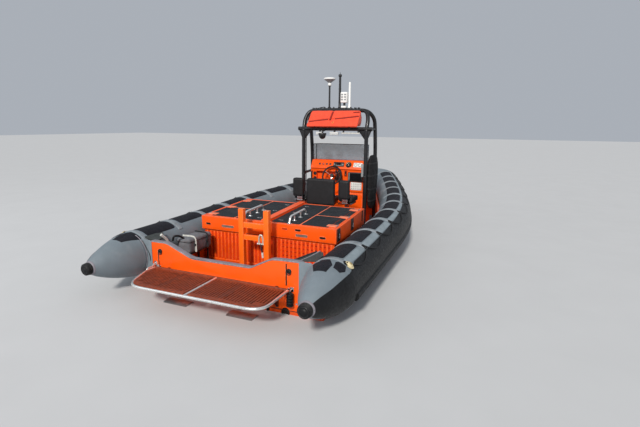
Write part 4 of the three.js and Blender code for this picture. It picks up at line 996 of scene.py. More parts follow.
# plotter: case, bezel, screen, keys
b.prism(rrect(-0.452, -0.192, 0.846, 1.004, 0.016), 0.0005, 0.026, "black_plastic", YZ, bevel=0.004)
b.prism(rrect(-0.447, -0.197, 0.851, 0.999, 0.014), 0.025, 0.0335, "black_plastic", YZ, bevel=0.003)
b.prism(rrect(-0.432, -0.236, 0.864, 0.988, 0.005), 0.0325, 0.0339, "screen_black", YZ)
for k in range(6):
    b.prism(rrect(-0.226, -0.206, 0.868 + k * 0.0205, 0.882 + k * 0.0205, 0.004), 0.0330, 0.0348, "grey_plastic", YZ, bevel=0.0008)
b.make("plotter", replaces=("chart_plotter",), slot="instrument_black")
b = Build()
# white switch panel with rows of covered switches and breakers
b.prism(rrect(-0.432, -0.238, 0.700, 0.832, 0.008), 0.0003, 0.008, "white_panel", YZ, bevel=0.0015)
for r in range(3):
    for k in range(5):
        y = -0.412 + k * 0.0385
        z = 0.726 + r * 0.040
        b.prism(rrect(y - 0.011, y + 0.011, z - 0.012, z + 0.012, 0.003), 0.0078, 0.0105, "white_panel", YZ, bevel=0.0008)
        b.prism(rrect(y - 0.0055, y + 0.0055, z - 0.008, z + 0.008, 0.002), 0.0103, 0.0145, "grey_plastic", YZ, bevel=0.0008)
for y in (-0.426, -0.244):
    for z in (0.707, 0.825):
        b.lathe([(0.0, 0.008), (0.004, 0.008), (0.0035, 0.0102), (0.0, 0.0104)], (CX, y, z), (-1, 0, 0), "steel", n=12)
# recess with twin throttle levers, vertical slot with a key switch; the recess floor and the slot are dark plates:
# painted shade
b.prism(rrect(-0.075, 0.045, 0.850, 1.010, 0.012), 0.0003, 0.010, "black_plastic", YZ, bevel=0.003)
b.prism(rrect(-0.066, 0.036, 0.859, 1.001, 0.010), 0.0095, 0.0112, "slot_shade", YZ)
for y in (-0.040, 0.010):
    b.lathe([(0.0, 0.0), (0.024, 0.0), (0.025, 0.012), (0.018, 0.022), (0.0, 0.023)], (CX - 0.010, y, 0.905), (-1, 0, 0), "black_plastic", n=24)
    b.tube(bend([(CX - 0.024, y, 0.905), (CX - 0.040, y, 0.925), (CX - 0.052, y, 0.985), (CX - 0.058, y, 1.010)], 0.02), 0.006, "steel", n=12)
    b.ball((CX - 0.059, y, 1.020), 0.015, "black_plastic", (1, 1, 1.25))
b.prism(rrect(-0.172, -0.120, 0.925, 1.032, 0.010), 0.0003, 0.006, "slot_orange", YZ, bevel=0.002)
b.prism(rrect(-0.158, -0.134, 0.940, 1.018, 0.010), 0.0055, 0.0072, "slot_shade", YZ)
b.lathe([(0.0, 0.0), (0.010, 0.0), (0.010, 0.010), (0.0, 0.011)], (CX - 0.006, -0.146, 0.958), (-1, 0, 0), "steel", n=20)
# lower recessed panel: frame, inner panel and two quarter-turn latches
b.prism(rrect(-0.4655, -0.1995, 0.155, 0.660, 0.015), -0.0246, -0.0215, "orange", YZ, bevel=0.001)
b.prism(rrect(-0.440, -0.225, 0.190, 0.630, 0.020), -0.0218, -0.0150, "orange", YZ, bevel=0.003)
for z in (0.26, 0.56):
    b.lathe([(0.0, 0.0), (0.013, 0.0), (0.013, 0.004), (0.010, 0.006), (0.0, 0.006)], (CX + 0.015, -0.247, z), (-1, 0, 0), "black_plastic", n=20)
# small gauges and grab handle to port
for y, z, r in ((0.425, 0.955, 0.030), (0.425, 0.870, 0.030)):
    b.lathe([(0.0, 0.0), (r, 0.0), (r * 1.02, 0.004), (r * 0.95, 0.009), (r * 0.86, 0.009), (r * 0.84, 0.005), (0.0, 0.005)], (CX, y, z), (-1, 0, 0), "black_plastic", n=32)
    b.lathe([(0.0, 0.0), (r * 0.83, 0.0), (r * 0.83, 0.001), (0.0, 0.001)], (CX - 0.005, y, z), (-1, 0, 0), "screen_black", n=28)
    b.tube([(CX - 0.0065, y, z), (CX - 0.0065, y + r * 0.55, z + r * 0.4)], 0.0012, "red_lens", n=6)
for s in (1, -1):
    y = s * 0.478
    b.tube(bend([(CX + 0.002, y, 0.74), (CX - 0.035, y, 0.75), (CX - 0.035, y, 0.98), (CX + 0.002, y, 0.99)], 0.028, 8), 0.0095, "black_tube", n=14)
# dash: a sloping face from (3.496, 1.072) to (3.575, 1.188)
U = Vector((0.079, 0, 0.116)).normalized()
W = Vector((-U.z, 0, U.x))
D = (Vector((3.496, 0, 1.072)), Vector((0, 1, 0)), U, W)
# radio with a handset grille and knobs
b.prism(rrect(-0.105, 0.085, 0.018, 0.098, 0.008), 0.0003, 0.022, "black_plastic", D, bevel=0.004)
b.prism(rrect(-0.050, 0.030, 0.040, 0.082, 0.004), 0.0215, 0.0235, "screen_black", D)
for y in (-0.088, 0.064):
    o = D[0] + U * 0.046 + W * 0.022 + Vector((0, y, 0))
    b.lathe([(0.0, 0.0), (0.012, 0.0), (0.0115, 0.010), (0.009, 0.012), (0.0, 0.012)], o, W, "grey_plastic", n=20)
for k in range(5):
    b.prism(rrect(-0.045 + k * 0.016, -0.034 + k * 0.016, 0.024, 0.033, 0.002), 0.0215, 0.0240, "grey_plastic", D)
# compass: bezel, dark dome, gold lubber ring and a small brass mark
o = D[0] + U * 0.060 + Vector((0, -0.185, 0))
b.lathe([(0.0, 0.0), (0.052, 0.0), (0.053, 0.008), (0.046, 0.014), (0.040, 0.012), (0.038, 0.004), (0.0, 0.004)], o, W, "black_plastic", n=40)
b.lathe([(0.0, 0.004), (0.037, 0.004), (0.035, 0.010), (0.026, 0.018), (0.012, 0.022), (0.0, 0.0225)], o, W, "screen_black", n=32)
b.lathe([(0.030, 0.011), (0.034, 0.0125), (0.033, 0.0145), (0.029, 0.0135), (0.030, 0.011)], o, W, "brass", n=32, caps=False)
b.box(tuple(o + U * -0.004 + W * 0.0215 + Vector((0, -0.003, 0)) - Vector((0.002, 0, 0.002))), tuple(o + U * -0.004 + W * 0.0215 + Vector((0, 0.003, 0)) + Vector((0.002, 0, 0.006))), "brass", 0.001)
# twin dials on a white panel
b.prism(rrect(-0.425, -0.272, 0.020, 0.104, 0.008), 0.0003, 0.006, "white_panel", D, bevel=0.0015)
for y in (-0.386, -0.311):
    o = D[0] + U * 0.062 + W * 0.006 + Vector((0, y, 0))
    b.lathe([(0.0, 0.0), (0.031, 0.0), (0.0315, 0.005), (0.028, 0.009), (0.0255, 0.008), (0.0245, 0.004), (0.0, 0.004)], o, W, "grey_plastic", n=32)
    b.lathe([(0.0, 0.004), (0.0243, 0.004), (0.0243, 0.0046), (0.0, 0.0046)], o, W, "white_panel", n=28)
    b.tube([o + W * 0.0055, o + W * 0.0055 + U * 0.017 + Vector((0, 0.008, 0))], 0.0011, "black_plastic", n=6)
    for k in range(9):
        a = math.radians(-120 + k * 30)
        p_ = o + W * 0.0050 + (U * math.cos(a) + Vector((0, 1, 0)) * math.sin(a)) * 0.0205
        q_ = o + W * 0.0050 + (U * math.cos(a) + Vector((0, 1, 0)) * math.sin(a)) * 0.0235
        b.tube([p_, q_], 0.0007, "black_plastic", n=5)
# small round breaker and warning lamp on the dash
for y, m in ((0.150, "black_plastic"), (0.215, "black_plastic"), (0.280, "red_lens"), (0.345, "black_plastic")):
    o = D[0] + U * 0.060 + Vector((0, y, 0))
    b.lathe([(0.0, 0.0), (0.019, 0.0), (0.0195, 0.004), (0.015, 0.007), (0.0, 0.007)], o, W, "black_plastic", n=28)
    b.lathe([(0.0, 0.006), (0.012, 0.006), (0.011, 0.011), (0.006, 0.0135), (0.0, 0.014)], o, W, m, n=24)
# screws round the dash and the console face
for y in (-0.47, -0.24, 0.0, 0.24, 0.47):
    for u in (0.008, 0.130):
        o = D[0] + U * u + Vector((0, y, 0))
        b.lathe([(0.0, 0.0), (0.005, 0.0), (0.0045, 0.0022), (0.0, 0.0026)], o, W, "steel", n=10)
# dark line of the joint at the dash's lip
b.tube([(3.4885, -0.497, 1.0485), (3.4885, 0.497, 1.0485)], 0.0035, "slot_orange", n=8)
b.make("console_fittings", slot="instrument_black")
# a grab rail, and two panels with two toggles each on the forward side of the console
b = Build()
N4 = Vector((0.958, 0, 0.287)).normalized()
b.tube(bend([(3.99, -0.33, 1.12), (4.03, -0.33, 1.16), (4.03, 0.33, 1.16), (3.99, 0.33, 1.12)], 0.03, 8), 0.011, "steel", n=16)
for z0 in (0.30, 0.62):
    xs = 4.200 - (z0 - 0.055) * (0.190 / 1.055)
    fr = ((xs, 0, z0), (0, 1, 0), (-0.177, 0, 0.984), (0.984, 0, 0.177))
    b.prism(rrect(-0.20, 0.20, 0.0, 0.25, 0.03), -0.002, 0.007, "orange", fr, bevel=0.003)
    for y in (-0.14, 0.14):
        o = Vector(fr[0]) + Vector(fr[2]) * 0.215 + Vector(fr[3]) * 0.006 + Vector((0, y, 0))
        b.lathe([(0.0, 0.0), (0.016, 0.0), (0.016, 0.005), (0.0, 0.006)], o, Vector(fr[3]), "black_plastic", n=20)
b.make("console_front_fittings", slot="orange_gelcoat")

# windscreen: rubber edge and two stays
b = Build()
scr = [(3.578, 0.494), (3.690, 0.487), (3.753, 0.443), (3.782, 0.300)]
line = [(x, y) for x, y in scr] + [(x, -y) for x, y in scr[::-1]]
b.tube([(x, y, 1.4615) for x, y in line], 0.0055, "black_plastic", n=10)
b.tube([(x, y, 1.193 - (0.0 if x < 3.63 else (x - 3.63) * 0.0933)) for x, y in line], 0.007, "rubber", n=10)
for s in (1, -1):
    b.tube([(3.578, s * 0.494, 1.185), (3.578, s * 0.494, 1.4615)], 0.0055, "black_plastic", n=10)
    b.tube([(3.695, s * 0.480, 1.19), (3.695, s * 0.480, 1.46)], 0.007, "black_tube", n=12)
b.make("windscreen_edge", slot="black_rubber")

# steering wheel: rim, three spokes, hub
wc, tilt = Vector((3.368, 0.060, 0.945)), math.radians(28)
wa = Vector((-math.cos(tilt), 0, math.sin(tilt)))
wu = Vector((0, 1, 0))
wv = wa.cross(wu).normalized()
b = Build()
b.tube([wc + wu * (0.165 * math.cos(a)) + wv * (0.165 * math.sin(a)) for a in np.linspace(0, 2 * math.pi, 57)[:-1]], 0.0135, "rubber", n=16, closed=True)
for k in range(3):
    a = math.radians(90 + 120 * k)
    d = wu * math.cos(a) + wv * math.sin(a)
    b.tube([wc + wa * 0.004 + d * 0.020, wc - wa * 0.004 + d * 0.090, wc + d * 0.158], 0.0, "steel", n=20, flat=(0.024, 0.007))
b.lathe([(0.0, -0.017), (0.030, -0.017), (0.034, -0.008), (0.032, 0.008), (0.024, 0.015), (0.0, 0.0165)], wc, wa, "black_plastic", n=32)
b.ball(wc + wu * 0.150 + wa * 0.010, 0.012, "black_plastic")
b.make("wheel", body="wheel", replaces=("steering_wheel",), slot="black_rubber")

# ------------------------------------------------------------------ gantry
GT, AX, AY, BZ, BH = 0.032, 3.290, 0.550, 1.730, 0.645
FX, FY, HX, HZ = 3.740, 0.585, 3.465, 2.028
b = Build()


def both(p):
    return list(p) + [(x, -y, z) for x, y, z in p[::-1]]


FLOOR = 0.0560
b.tube(bend(both([(AX, AY, FLOOR), (AX, AY, BZ), (AX + 0.062, AY + 0.006, 1.900), (AX + 0.138, 0.500, HZ)]), 0.130, 8), GT, "black_tube", n=24)
b.tube(bend(both([(FX + 0.060, FY, FLOOR), (FX, FY, 1.400), (FX - 0.060, FY, 1.740), (FX - 0.130, FY + 0.004, 1.905), (HX + 0.035, 0.500, HZ)]), 0.130, 8), GT, "black_tube", n=24)
b.tube([(AX, -BH, BZ), (AX, BH, BZ)], GT, "black_tube", n=24)
for s in (1, -1):
    b.prism([(s * BH, BZ), (s * (AY + 0.020), BZ - 0.175), (s * (AY - 0.020), BZ - 0.180), (s * (AY - 0.125), BZ - 0.040), (s * (AY - 0.125), BZ)],
            -0.010, 0.010, "black_tube", ((AX, 0, 0), (0, 1, 0), (0, 0, 1), (1, 0, 0)), bevel=0.003)
    b.tube([(AX, s * AY, BZ), (FX - 0.058, s * FY, BZ)], 0.024, "black_tube", n=18)
    b.tube([(AX, s * AY, 0.980), (FX + 0.018, s * FY, 0.980)], 0.022, "black_tube", n=18)
    for x, y, z in ((AX, AY, FLOOR), (FX + 0.060, FY, FLOOR)):
        b.lathe([(0.0, 0.0), (0.066, 0.0), (0.068, 0.004), (0.066, 0.010), (0.040, 0.012), (0.036, 0.022), (0.0, 0.022)], (x, s * y, z), (0, 0, 1), "black_tube", n=32)
        for k in range(4):
            a = math.pi / 4 + k * math.pi / 2
            b.lathe([(0.0, 0.0), (0.008, 0.0), (0.008, 0.005), (0.0, 0.006)], (x + 0.055 * math.cos(a), s * y + 0.055 * math.sin(a), z + 0.010), (0, 0, 1), "steel", n=6)
    # weld collars at the joints
    for z in (BZ - 0.030, 0.955):
        b.lathe([(0.032, 0.0), (0.036, 0.004), (0.0365, 0.012), (0.033, 0.018)], (AX, s * AY, z), (0, 0, 1), "black_tube", n=24, caps=False)
b.box((HX - 0.042, -0.245, HZ + 0.010), (HX + 0.042, 0.265, HZ + 0.042), "black_tube", 0.005)
b.make("gantry_tubes", replaces=("gantry",), slot="black_coated_tube")
b = Build()
# clamps and cable glands on the top tubes
for y in (-0.30, -0.36, 0.31, 0.38, 0.44):
    for x in (AX + 0.138, HX + 0.035):
        b.tube([(x, y - 0.011, HZ), (x, y + 0.011, HZ)], 0.0355, "black_plastic", n=28)
        b.box((x - 0.010, y - 0.009, HZ + 0.030), (x + 0.010, y + 0.009, HZ + 0.050), "black_plastic", 0.003)
for y in (-0.225, 0.075, 0.235):
    b.lathe([(0.0, 0.0), (0.014, 0.0), (0.014, 0.010), (0.009, 0.018), (0.0, 0.020)], (HX - 0.020, y, HZ + 0.042), (0, 0, 1), "black_plastic", n=16)
# cable down the port leg, held by straps round it
b.tube(bend([(HX - 0.020, 0.235, HZ + 0.060), (HX - 0.045, 0.34, HZ + 0.045), (AX + 0.105, 0.470, HZ - 0.050), (AX + 0.035, 0.512, 1.86), (AX + 0.020, 0.512, 1.60), (AX + 0.020, 0.512, 0.25)], 0.06, 8), 0.0065, "rope_black", n=10)
for z in (0.35, 0.60, 0.85, 1.10, 1.35, 1.60):
    b.tube([(AX, AY, z - 0.006), (AX, AY, z + 0.006)], 0.0345, "strap_black", n=24)
# floodlights under the after beam, black dome between them, pale strip light
for y0, y1 in ((0.182, 0.296), (-0.088, 0.052)):
    b.box((AX - 0.080, y0, 1.630), (AX - 0.030, y1, 1.678), "white_plastic", 0.007, 3)
    b.box((AX - 0.083, y0 + 0.007, 1.636), (AX - 0.078, y1 - 0.007, 1.672), "glass_clear", 0.002)
    b.box((AX - 0.055, (y0 + y1) / 2 - 0.012, 1.674), (AX - 0.016, (y0 + y1) / 2 + 0.012, 1.708), "black_plastic", 0.003)
b.lathe([(0.0, 0.0), (0.062, 0.0), (0.066, 0.008), (0.066, 0.026), (0.060, 0.032), (0.058, 0.045), (0.050, 0.070), (0.032, 0.090), (0.012, 0.098), (0.0, 0.099)],
        (AX - 0.088, 0.176, BZ - 0.070), (0, 0, -1), "black_plastic", n=36)
b.tube(bend([(AX - 0.016, 0.160, BZ - 0.022), (AX - 0.088, 0.174, BZ - 0.040), (AX - 0.088, 0.176, BZ - 0.072)], 0.02, 4), 0.0150, "black_plastic", n=16)
b.box((AX - 0.052, -0.452, 1.652), (AX - 0.034, -0.140, 1.672), "strap_pale", 0.004, 3)
for y in (-0.42, -0.17):
    b.box((AX - 0.045, y - 0.010, 1.665), (AX - 0.012, y + 0.010, 1.708), "black_plastic", 0.003)
# grey junction box inside the starboard leg, and a small bright hook on the bundle's strap
b.box((AX + 0.000, -0.520, 0.955), (AX + 0.050, -0.478, 1.165), "grey_plastic", 0.008, 3)
b.tube(bend([(3.40, -0.628, 1.262), (3.40, -0.642, 1.245), (3.43, -0.642, 1.232), (3.45, -0.630, 1.245)], 0.012), 0.006, "steel", n=10)
b.make("gantry_fittings", slot="instrument_black")

# mast, aerials, reflector
MZ = HZ + 0.0424
b = Build()
b.lathe([(0.0, 0.0), (0.030, 0.0), (0.030, 0.010), (0.024, 0.015), (0.0155, 0.019), (0.0145, 0.18), (0.0145, 0.352), (0.024, 0.356), (0.024, 0.362), (0.0, 0.362)], (HX, 0.160, MZ), (0, 0, 1), "black_plastic", n=28)
b.lathe([(0.0, 0.362), (0.020, 0.362), (0.028, 0.370), (0.0305, 0.384), (0.028, 0.398), (0.021, 0.408), (0.0, 0.408)], (HX, 0.160, MZ), (0, 0, 1), "white_plastic", n=32)
b.lathe([(0.0, 0.408), (0.021, 0.408), (0.040, 0.425), (0.074, 0.448), (0.094, 0.464), (0.0, 0.464)], (HX, 0.160, MZ), (0, 0, 1), "grey_plastic", n=40)
b.lathe([(0.0, 0.4642), (0.096, 0.4642), (0.0995, 0.470), (0.0995, 0.478), (0.092, 0.487), (0.065, 0.4935), (0.030, 0.497), (0.0, 0.498)], (HX, 0.160, MZ), (0, 0, 1), "white_plastic", n=48)
b.make("light_mast_top", replaces=("light_mast",), slot="white_plastic")
b = Build()
b.lathe([(0.0, 0.0), (0.030, 0.0), (0.030, 0.009), (0.026, 0.013), (0.021, 0.022), (0.020, 0.10), (0.0195, 0.30), (0.0185, 0.495), (0.024, 0.500), (0.028, 0.508), (0.028, 0.532),
         (0.024, 0.538), (0.012, 0.542), (0.0045, 0.546), (0.0035, 0.572), (0.0, 0.5725)], (HX, -0.023, MZ), (0, 0, 1), "black_plastic", n=28)
for h in (0.09, 0.30):
    b.lathe([(0.0205, h), (0.0235, h + 0.002), (0.0235, h + 0.012), (0.0205, h + 0.014)], (HX, -0.023, MZ), (0, 0, 1), "black_plastic", n=24, caps=False)
b.make("aerial_black", replaces=("aerial_pole",), slot="instrument_black")
b = Build()
b.box((HX - 0.040, -0.142, MZ), (HX + 0.040, -0.058, MZ + 0.034), "white_plastic", 0.008, 4)
b.tube([(HX, -0.105, MZ + 0.030), (HX, -0.105, MZ + 0.086)], 0.019, "black_plastic", n=24)
# a stack of corner plates inside a white case: case edges with pale waists
b.box((HX - 0.048, -0.162, MZ + 0.082), (HX + 0.048, -0.048, MZ + 0.256), "white_plastic", 0.018, 5)
for h in (0.120, 0.160, 0.200):
    for y0, y1 in ((-0.150, -0.112), (-0.098, -0.060)):
        b.box((HX - 0.0484, y0, MZ + h), (HX - 0.044, y1, MZ + h + 0.028), "grey_plastic", 0.002)
b.make("reflector", replaces=("radar_reflector",), slot="white_plastic")
b = Build()
b.lathe([(0.0, 0.0), (0.024, 0.0), (0.024, 0.024), (0.021, 0.030), (0.0185, 0.040), (0.0185, 0.060), (0.0175, 0.062), (0.0175, 0.38), (0.0165, 0.400), (0.010, 0.412), (0.0, 0.414)],
        (HX, -0.194, MZ), (0, 0, 1), "white_plastic", n=28)
b.make("whip", replaces=("whip_aerial",), slot="white_plastic")

# ------------------------------------------------------------------ quarters, deck and bow
b = Build()
# port quarter: black grab handle on the tube's inner side, pale stowed tube, latches
b.tube(bend([(0.305, 0.862, 0.470), (0.300, 0.838, 0.530), (0.360, 0.812, 0.520), (0.440, 0.808, 0.468), (0.452, 0.830, 0.430)], 0.03, 8), 0.012, "rubber", n=14)
b.tube(bend([(0.120, 0.858, 0.585), (0.190, 0.845, 0.520), (0.262, 0.850, 0.385)], 0.05, 8), 0.0155, "strap_pale", n=16)
for x, y in ((0.150, 0.872), (0.240, 0.872)):
    b.box((x - 0.012, y - 0.030, 0.455), (x + 0.012, y + 0.045, 0.468), "black_plastic", 0.003)
b.make("port_quarter_fittings", slot="black_rubber")
b = Build()
# on both quarters, fabric closes the gap from the transom to the collar: a flange aft, a broad wedge on top
for s in (1, -1):
    flange = [(0.884, 0.055), (0.884, 0.536), (0.905, 0.549), (1.010, 0.549), (1.030, 0.520), (0.985, 0.470), (0.960, 0.400), (0.957, 0.300), (0.980, 0.200), (0.975, 0.055)]
    b.prism([(s * y, z) for y, z in flange], -0.0058, -0.0008, "tube_grey", ((0, 0, 0), (0, 1, 0), (0, 0, 1), (1, 0, 0)), bevel=0.0015)
    if s > 0:
        top = [(0.059, 0.872), (0.059, 1.040), (0.230, 1.035), (0.300, 0.990), (0.240, 0.925), (0.130, 0.885)]
    else:
        top = [(0.059, 0.796), (0.059, 1.040), (0.240, 1.035), (0.340, 0.990), (0.405, 0.895), (0.290, 0.856), (0.150, 0.824)]
    n_ = len(top)
    vs = [(x, s * y, z + (0.030 if y > 0.93 else 0.0)) for x, y in top for z in (0.516, 0.528)]
    b.add(vs, [tuple(range(1, 2 * n_, 2)), tuple(range(0, 2 * n_, 2))[::-1]]
          + [(2 * k, 2 * ((k + 1) % n_), 2 * ((k + 1) % n_) + 1, 2 * k + 1) for k in range(n_)], "knee_cloth")
    if s < 0:
        b.tube(bend([(0.062, -0.798, 0.530), (0.150, -0.826, 0.530), (0.290, -0.858, 0.530), (0.402, -0.896, 0.531)], 0.05, 6), 0.0095, "black_plastic", n=12)
        b.tube(bend([(0.064, -0.870, 0.533), (0.240, -0.905, 0.535), (0.375, -0.945, 0.552)], 0.05, 6), 0.0060, "capping", n=10)
# dark joint between the port flange and the collar's seam tape
b.tube(bend([(-0.0065, 1.0096, 0.5328), (-0.0065, 0.9799, 0.4964), (-0.0065, 0.9578, 0.4558), (-0.0065, 0.9298, 0.4171), (-0.0065, 0.9131, 0.3793), (-0.0065, 0.907, 0.3171)], 0.03, 4), 0.0052, "black_plastic", n=10)
b.make("quarter_knees", slot="grey_capping")
b = Build()
# deck: lashing eyes, foot straps by the seats
for x in (0.30, 2.42, 3.05):
    for s in (1, -1):
        y = s * 0.76
        b.lathe([(0.0, 0.0), (0.030, 0.0), (0.031, 0.003), (0.026, 0.005), (0.0, 0.005)], (x, y, 0.0556), (0, 0, 1), "steel", n=24)
        b.tube([(x + 0.018 * math.cos(a), y, 0.060 + 0.020 * math.sin(a)) for a in np.linspace(0, math.pi, 13)], 0.0038, "steel", n=10)
for y in (-0.385, 0.385, 0.0):
    b.tube(bend([(3.18, y - 0.075, 0.056), (3.18, y - 0.065, 0.118), (3.18, y + 0.065, 0.118), (3.18, y + 0.075, 0.056)], 0.05, 8), 0.0, "strap_black", n=18, flat=(0.045, 0.005))
b.make("deck_fittings", slot="stainless")
b = Build()
# foredeck non-slip panel
b.prism([(4.80, -0.285), (5.20, -0.165), (5.205, 0.165), (4.80, 0.285)], 0.0, 0.004, "lid_pad", ((0, 0, 0.3245), (1, 0, 0), (0, 1, 0), (0, 0, 1)), bevel=0.001)
b.make("foredeck_pad", slot="deck_nonslip")

# ------------------------------------------------------------------ soft goods


def remeshed(bm, voxel, name):
    me = bpy.data.meshes.new(name)
    bm.to_mesh(me)
    bm.free()
    o = bpy.data.objects.new(name, me)
    SCN.collection.objects.link(o)
    m = o.modifiers.new("voxels", "REMESH")
    m.mode, m.voxel_size, m.use_smooth_shade = "VOXEL", voxel, True
    dg = bpy.context.evaluated_depsgraph_get()
    new = bpy.data.meshes.new_from_object(o.evaluated_get(dg))
    o.modifiers.clear()
    o.data = new
    bpy.data.meshes.remove(me)
    return o


def swell(o, pinned, pressure=4.0, cap=0.02, steps=20, bending=0.6, smooth=2):
    """Air pressure inside a cloth skin, with the seam points held; the result goes into the mesh."""
    me = o.data
    n = len(me.vertices)
    rest = np.empty(n * 3)
    me.vertices.foreach_get("co", rest)
    rest = rest.reshape(-1, 3)
    hold = np.array([pinned(p) for p in rest], bool)
    g = o.vertex_groups.new(name="held")
    g.add([int(i) for i in np.nonzero(hold)[0]], 1.0, "REPLACE")
    c = o.modifiers.new("cloth", "CLOTH")
    st = c.settings
    st.quality, st.mass = 5, 0.25
    st.tension_stiffness = st.compression_stiffness = 12
    st.shear_stiffness, st.bending_stiffness = 4, bending
    st.use_pressure, st.uniform_pressure_force = True, pressure
    st.effector_weights.gravity = 0
    st.vertex_group_mass = "held"
    c.collision_settings.use_collision = False
    c.collision_settings.use_self_collision = False
    c.point_cache.frame_start, c.point_cache.frame_end = 1, steps
    SCN.frame_start, SCN.frame_end = 1, steps
    for f in range(1, steps + 1):
        SCN.frame_set(f)
    dg = bpy.context.evaluated_depsgraph_get()
    em = o.evaluated_get(dg).to_mesh()
    got = np.empty(n * 3)
    em.vertices.foreach_get("co", got)
    o.evaluated_get(dg).to_mesh_clear()
    o.modifiers.remove(c)
    o.vertex_groups.clear()
    SCN.frame_set(1)
    d = got.reshape(-1, 3) - rest
    L = np.linalg.norm(d, axis=1, keepdims=True)
    d = d * np.minimum(1.0, cap / np.maximum(L, 1e-9))
    me.vertices.foreach_set("co", (rest + d).ravel())
    me.update()
    return o


def finish_soft(o, name, mats, body, replaces, levels=1):
    o.name = o.data.name = name
    o.data.materials.clear()
    for m in mats:
        o.data.materials.append(MATS[m])
    s = o.modifiers.new("round", "SUBSURF")
    s.levels = s.render_levels = levels
    dg = bpy.context.evaluated_depsgraph_get()
    new = bpy.data.meshes.new_from_object(o.evaluated_get(dg))
    o.modifiers.clear()
    old = o.data
    o.data = new
    bpy.data.meshes.remove(old)
    new.name = name
    new.shade_smooth()
    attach(o, body)
    if replaces:
        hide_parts(*replaces)
    return o


def round_box(lo, hi, r, seg=4):
    bm = bmesh.new()
    bmesh.ops.create_cube(bm, size=1)
    lo, hi = Vector(lo), Vector(hi)
    for v in bm.verts:
        v.co = Vector([(lo[i] + hi[i]) / 2 + v.co[i] * (hi[i] - lo[i]) for i in range(3)])
    bmesh.ops.bevel(bm, geom=list(bm.edges), offset=r, segments=seg, profile=0.5, affect="EDGES")
    return bm


SEAM = Build()
VOX = 0.009


def seat_pad(name, lo, hi, axis, r, channels=()):
    """A foam pad: two piped seams round its thin axis, crowned faces, and sewn channels across."""
    lo, hi = Vector(lo), Vector(hi)
    ins = 0.006
    a, c = lo + Vector((ins,) * 3), hi - Vector((ins,) * 3)
    o = remeshed(round_box(a, c, r), VOX, name)
    w = [i for i in range(3) if i != axis]
    z0, z1 = a[axis] + r * 0.45, c[axis] - r * 0.45
    mid = [(a[i] + c[i]) / 2 for i in range(3)]

    def pinned(p):
        rim = min(min(p[i] - a[i], c[i] - p[i]) for i in w)
        if rim < r * 0.75 and (abs(p[axis] - z0) < VOX * 0.55 or abs(p[axis] - z1) < VOX * 0.55):
            return True
        for ci, cv in channels:
            if abs(p[ci] - cv) < VOX * 0.55 and p[axis] > mid[axis] and rim > r * 0.9:
                return True
        return p[axis] < a[axis] + 0.002 and rim > 0.03

    swell(o, pinned, 4.0, 0.022)
    finish_soft(o, name + "_pad", ["seat"], "boat", (name,))
    # piping along the two seams
    k = r * 0.55
    for zz in (z0, z1):
        ring = rrect(a[w[0]] + k * 0.22, c[w[0]] - k * 0.22, a[w[1]] + k * 0.22, c[w[1]] - k * 0.22, r, 8)
        pts = []
        for u, v in ring:
            q = [0, 0, 0]
            q[w[0]], q[w[1]], q[axis] = u, v, zz
            pts.append(tuple(q))
        SEAM.tube(pts, 0.0036, "strap_black", n=8, closed=True)
    return o


SX = 2.680
for nm, y, hc, hb, zb, zt in (("helm", 0.0, 0.200, 0.235, 0.575, 0.970), ("port", 0.385, 0.120, 0.090, 0.600, 0.965), ("starboard", -0.385, 0.120, 0.090, 0.600, 0.965)):
    seat_pad(nm + "_seat_cushion", (SX + 0.110, y - hc, zb + 0.0004), (SX + 0.430, y + hc, zb + 0.095), 2, 0.026, channels=((0, SX + 0.215),))
    seat_pad(nm + "_seat_back", (SX, y - hb, 0.545 if nm == "helm" else 0.660), (SX + 0.0876, y + hb, zt), 0, 0.026, channels=((2, zb + 0.215),))
SEAM.make("seat_piping", slot="seat_vinyl", sharp=60)

# righting bag: a folded cover held by creases, centre fold and edge cords
BAGO = [(3.150, 1.764), (3.168, 1.744), (3.232, 1.768), (3.385, 1.768), (3.432, 1.830), (3.448, 1.925), (3.402, 1.978), (3.386, 2.024), (3.368, 2.034), (3.345, 2.022)]
cx_, cz_ = 3.335, 1.885
bm = bmesh.new()
rings = []
ys = [-0.425, -0.40, -0.33, -0.22, -0.10, 0.0, 0.10, 0.22, 0.33, 0.415, 0.440]
for y in ys:
    f = 0.955
    if y <= -0.42 or y >= 0.435:
        f = 0.84
    rings.append([bm.verts.new((cx_ + (x - cx_) * f, y + (0.016 if y > 0.3 and z < 1.80 else 0.0), cz_ + (z - cz_) * f)) for x, z in BAGO])
for r0, r1 in zip(rings, rings[1:]):
    for k in range(len(BAGO)):
        bm.faces.new((r0[k], r0[(k + 1) % len(BAGO)], r1[(k + 1) % len(BAGO)], r1[k]))
bm.faces.new(rings[0][::-1])
bm.faces.new(rings[-1])
bmesh.ops.recalc_face_normals(bm, faces=bm.faces)
o = remeshed(bm, 0.010, "bag")


def bag_face(p):
    """Distance of a point from the sloping after face, and its height up that face from 0 to 1."""
    ax, az, bx, bz = 3.150, 1.764, 3.345, 2.022
    L = math.hypot(bx - ax, bz - az)
    u = ((p[0] - ax) * (bx - ax) + (p[2] - az) * (bz - az)) / L
    d = abs((p[0] - ax) * (bz - az) - (p[2] - az) * (bx - ax)) / L
    return d, u / L


def crease_1(y):
    return 0.34 + 0.34 * (0.44 - y) / 0.865 + 0.012 * math.sin(y * 9)


def centre_fold(u):
    return 0.075 - 0.030 * u


def crease_2(y):
    return 0.93 - 0.30 * (y + 0.42)


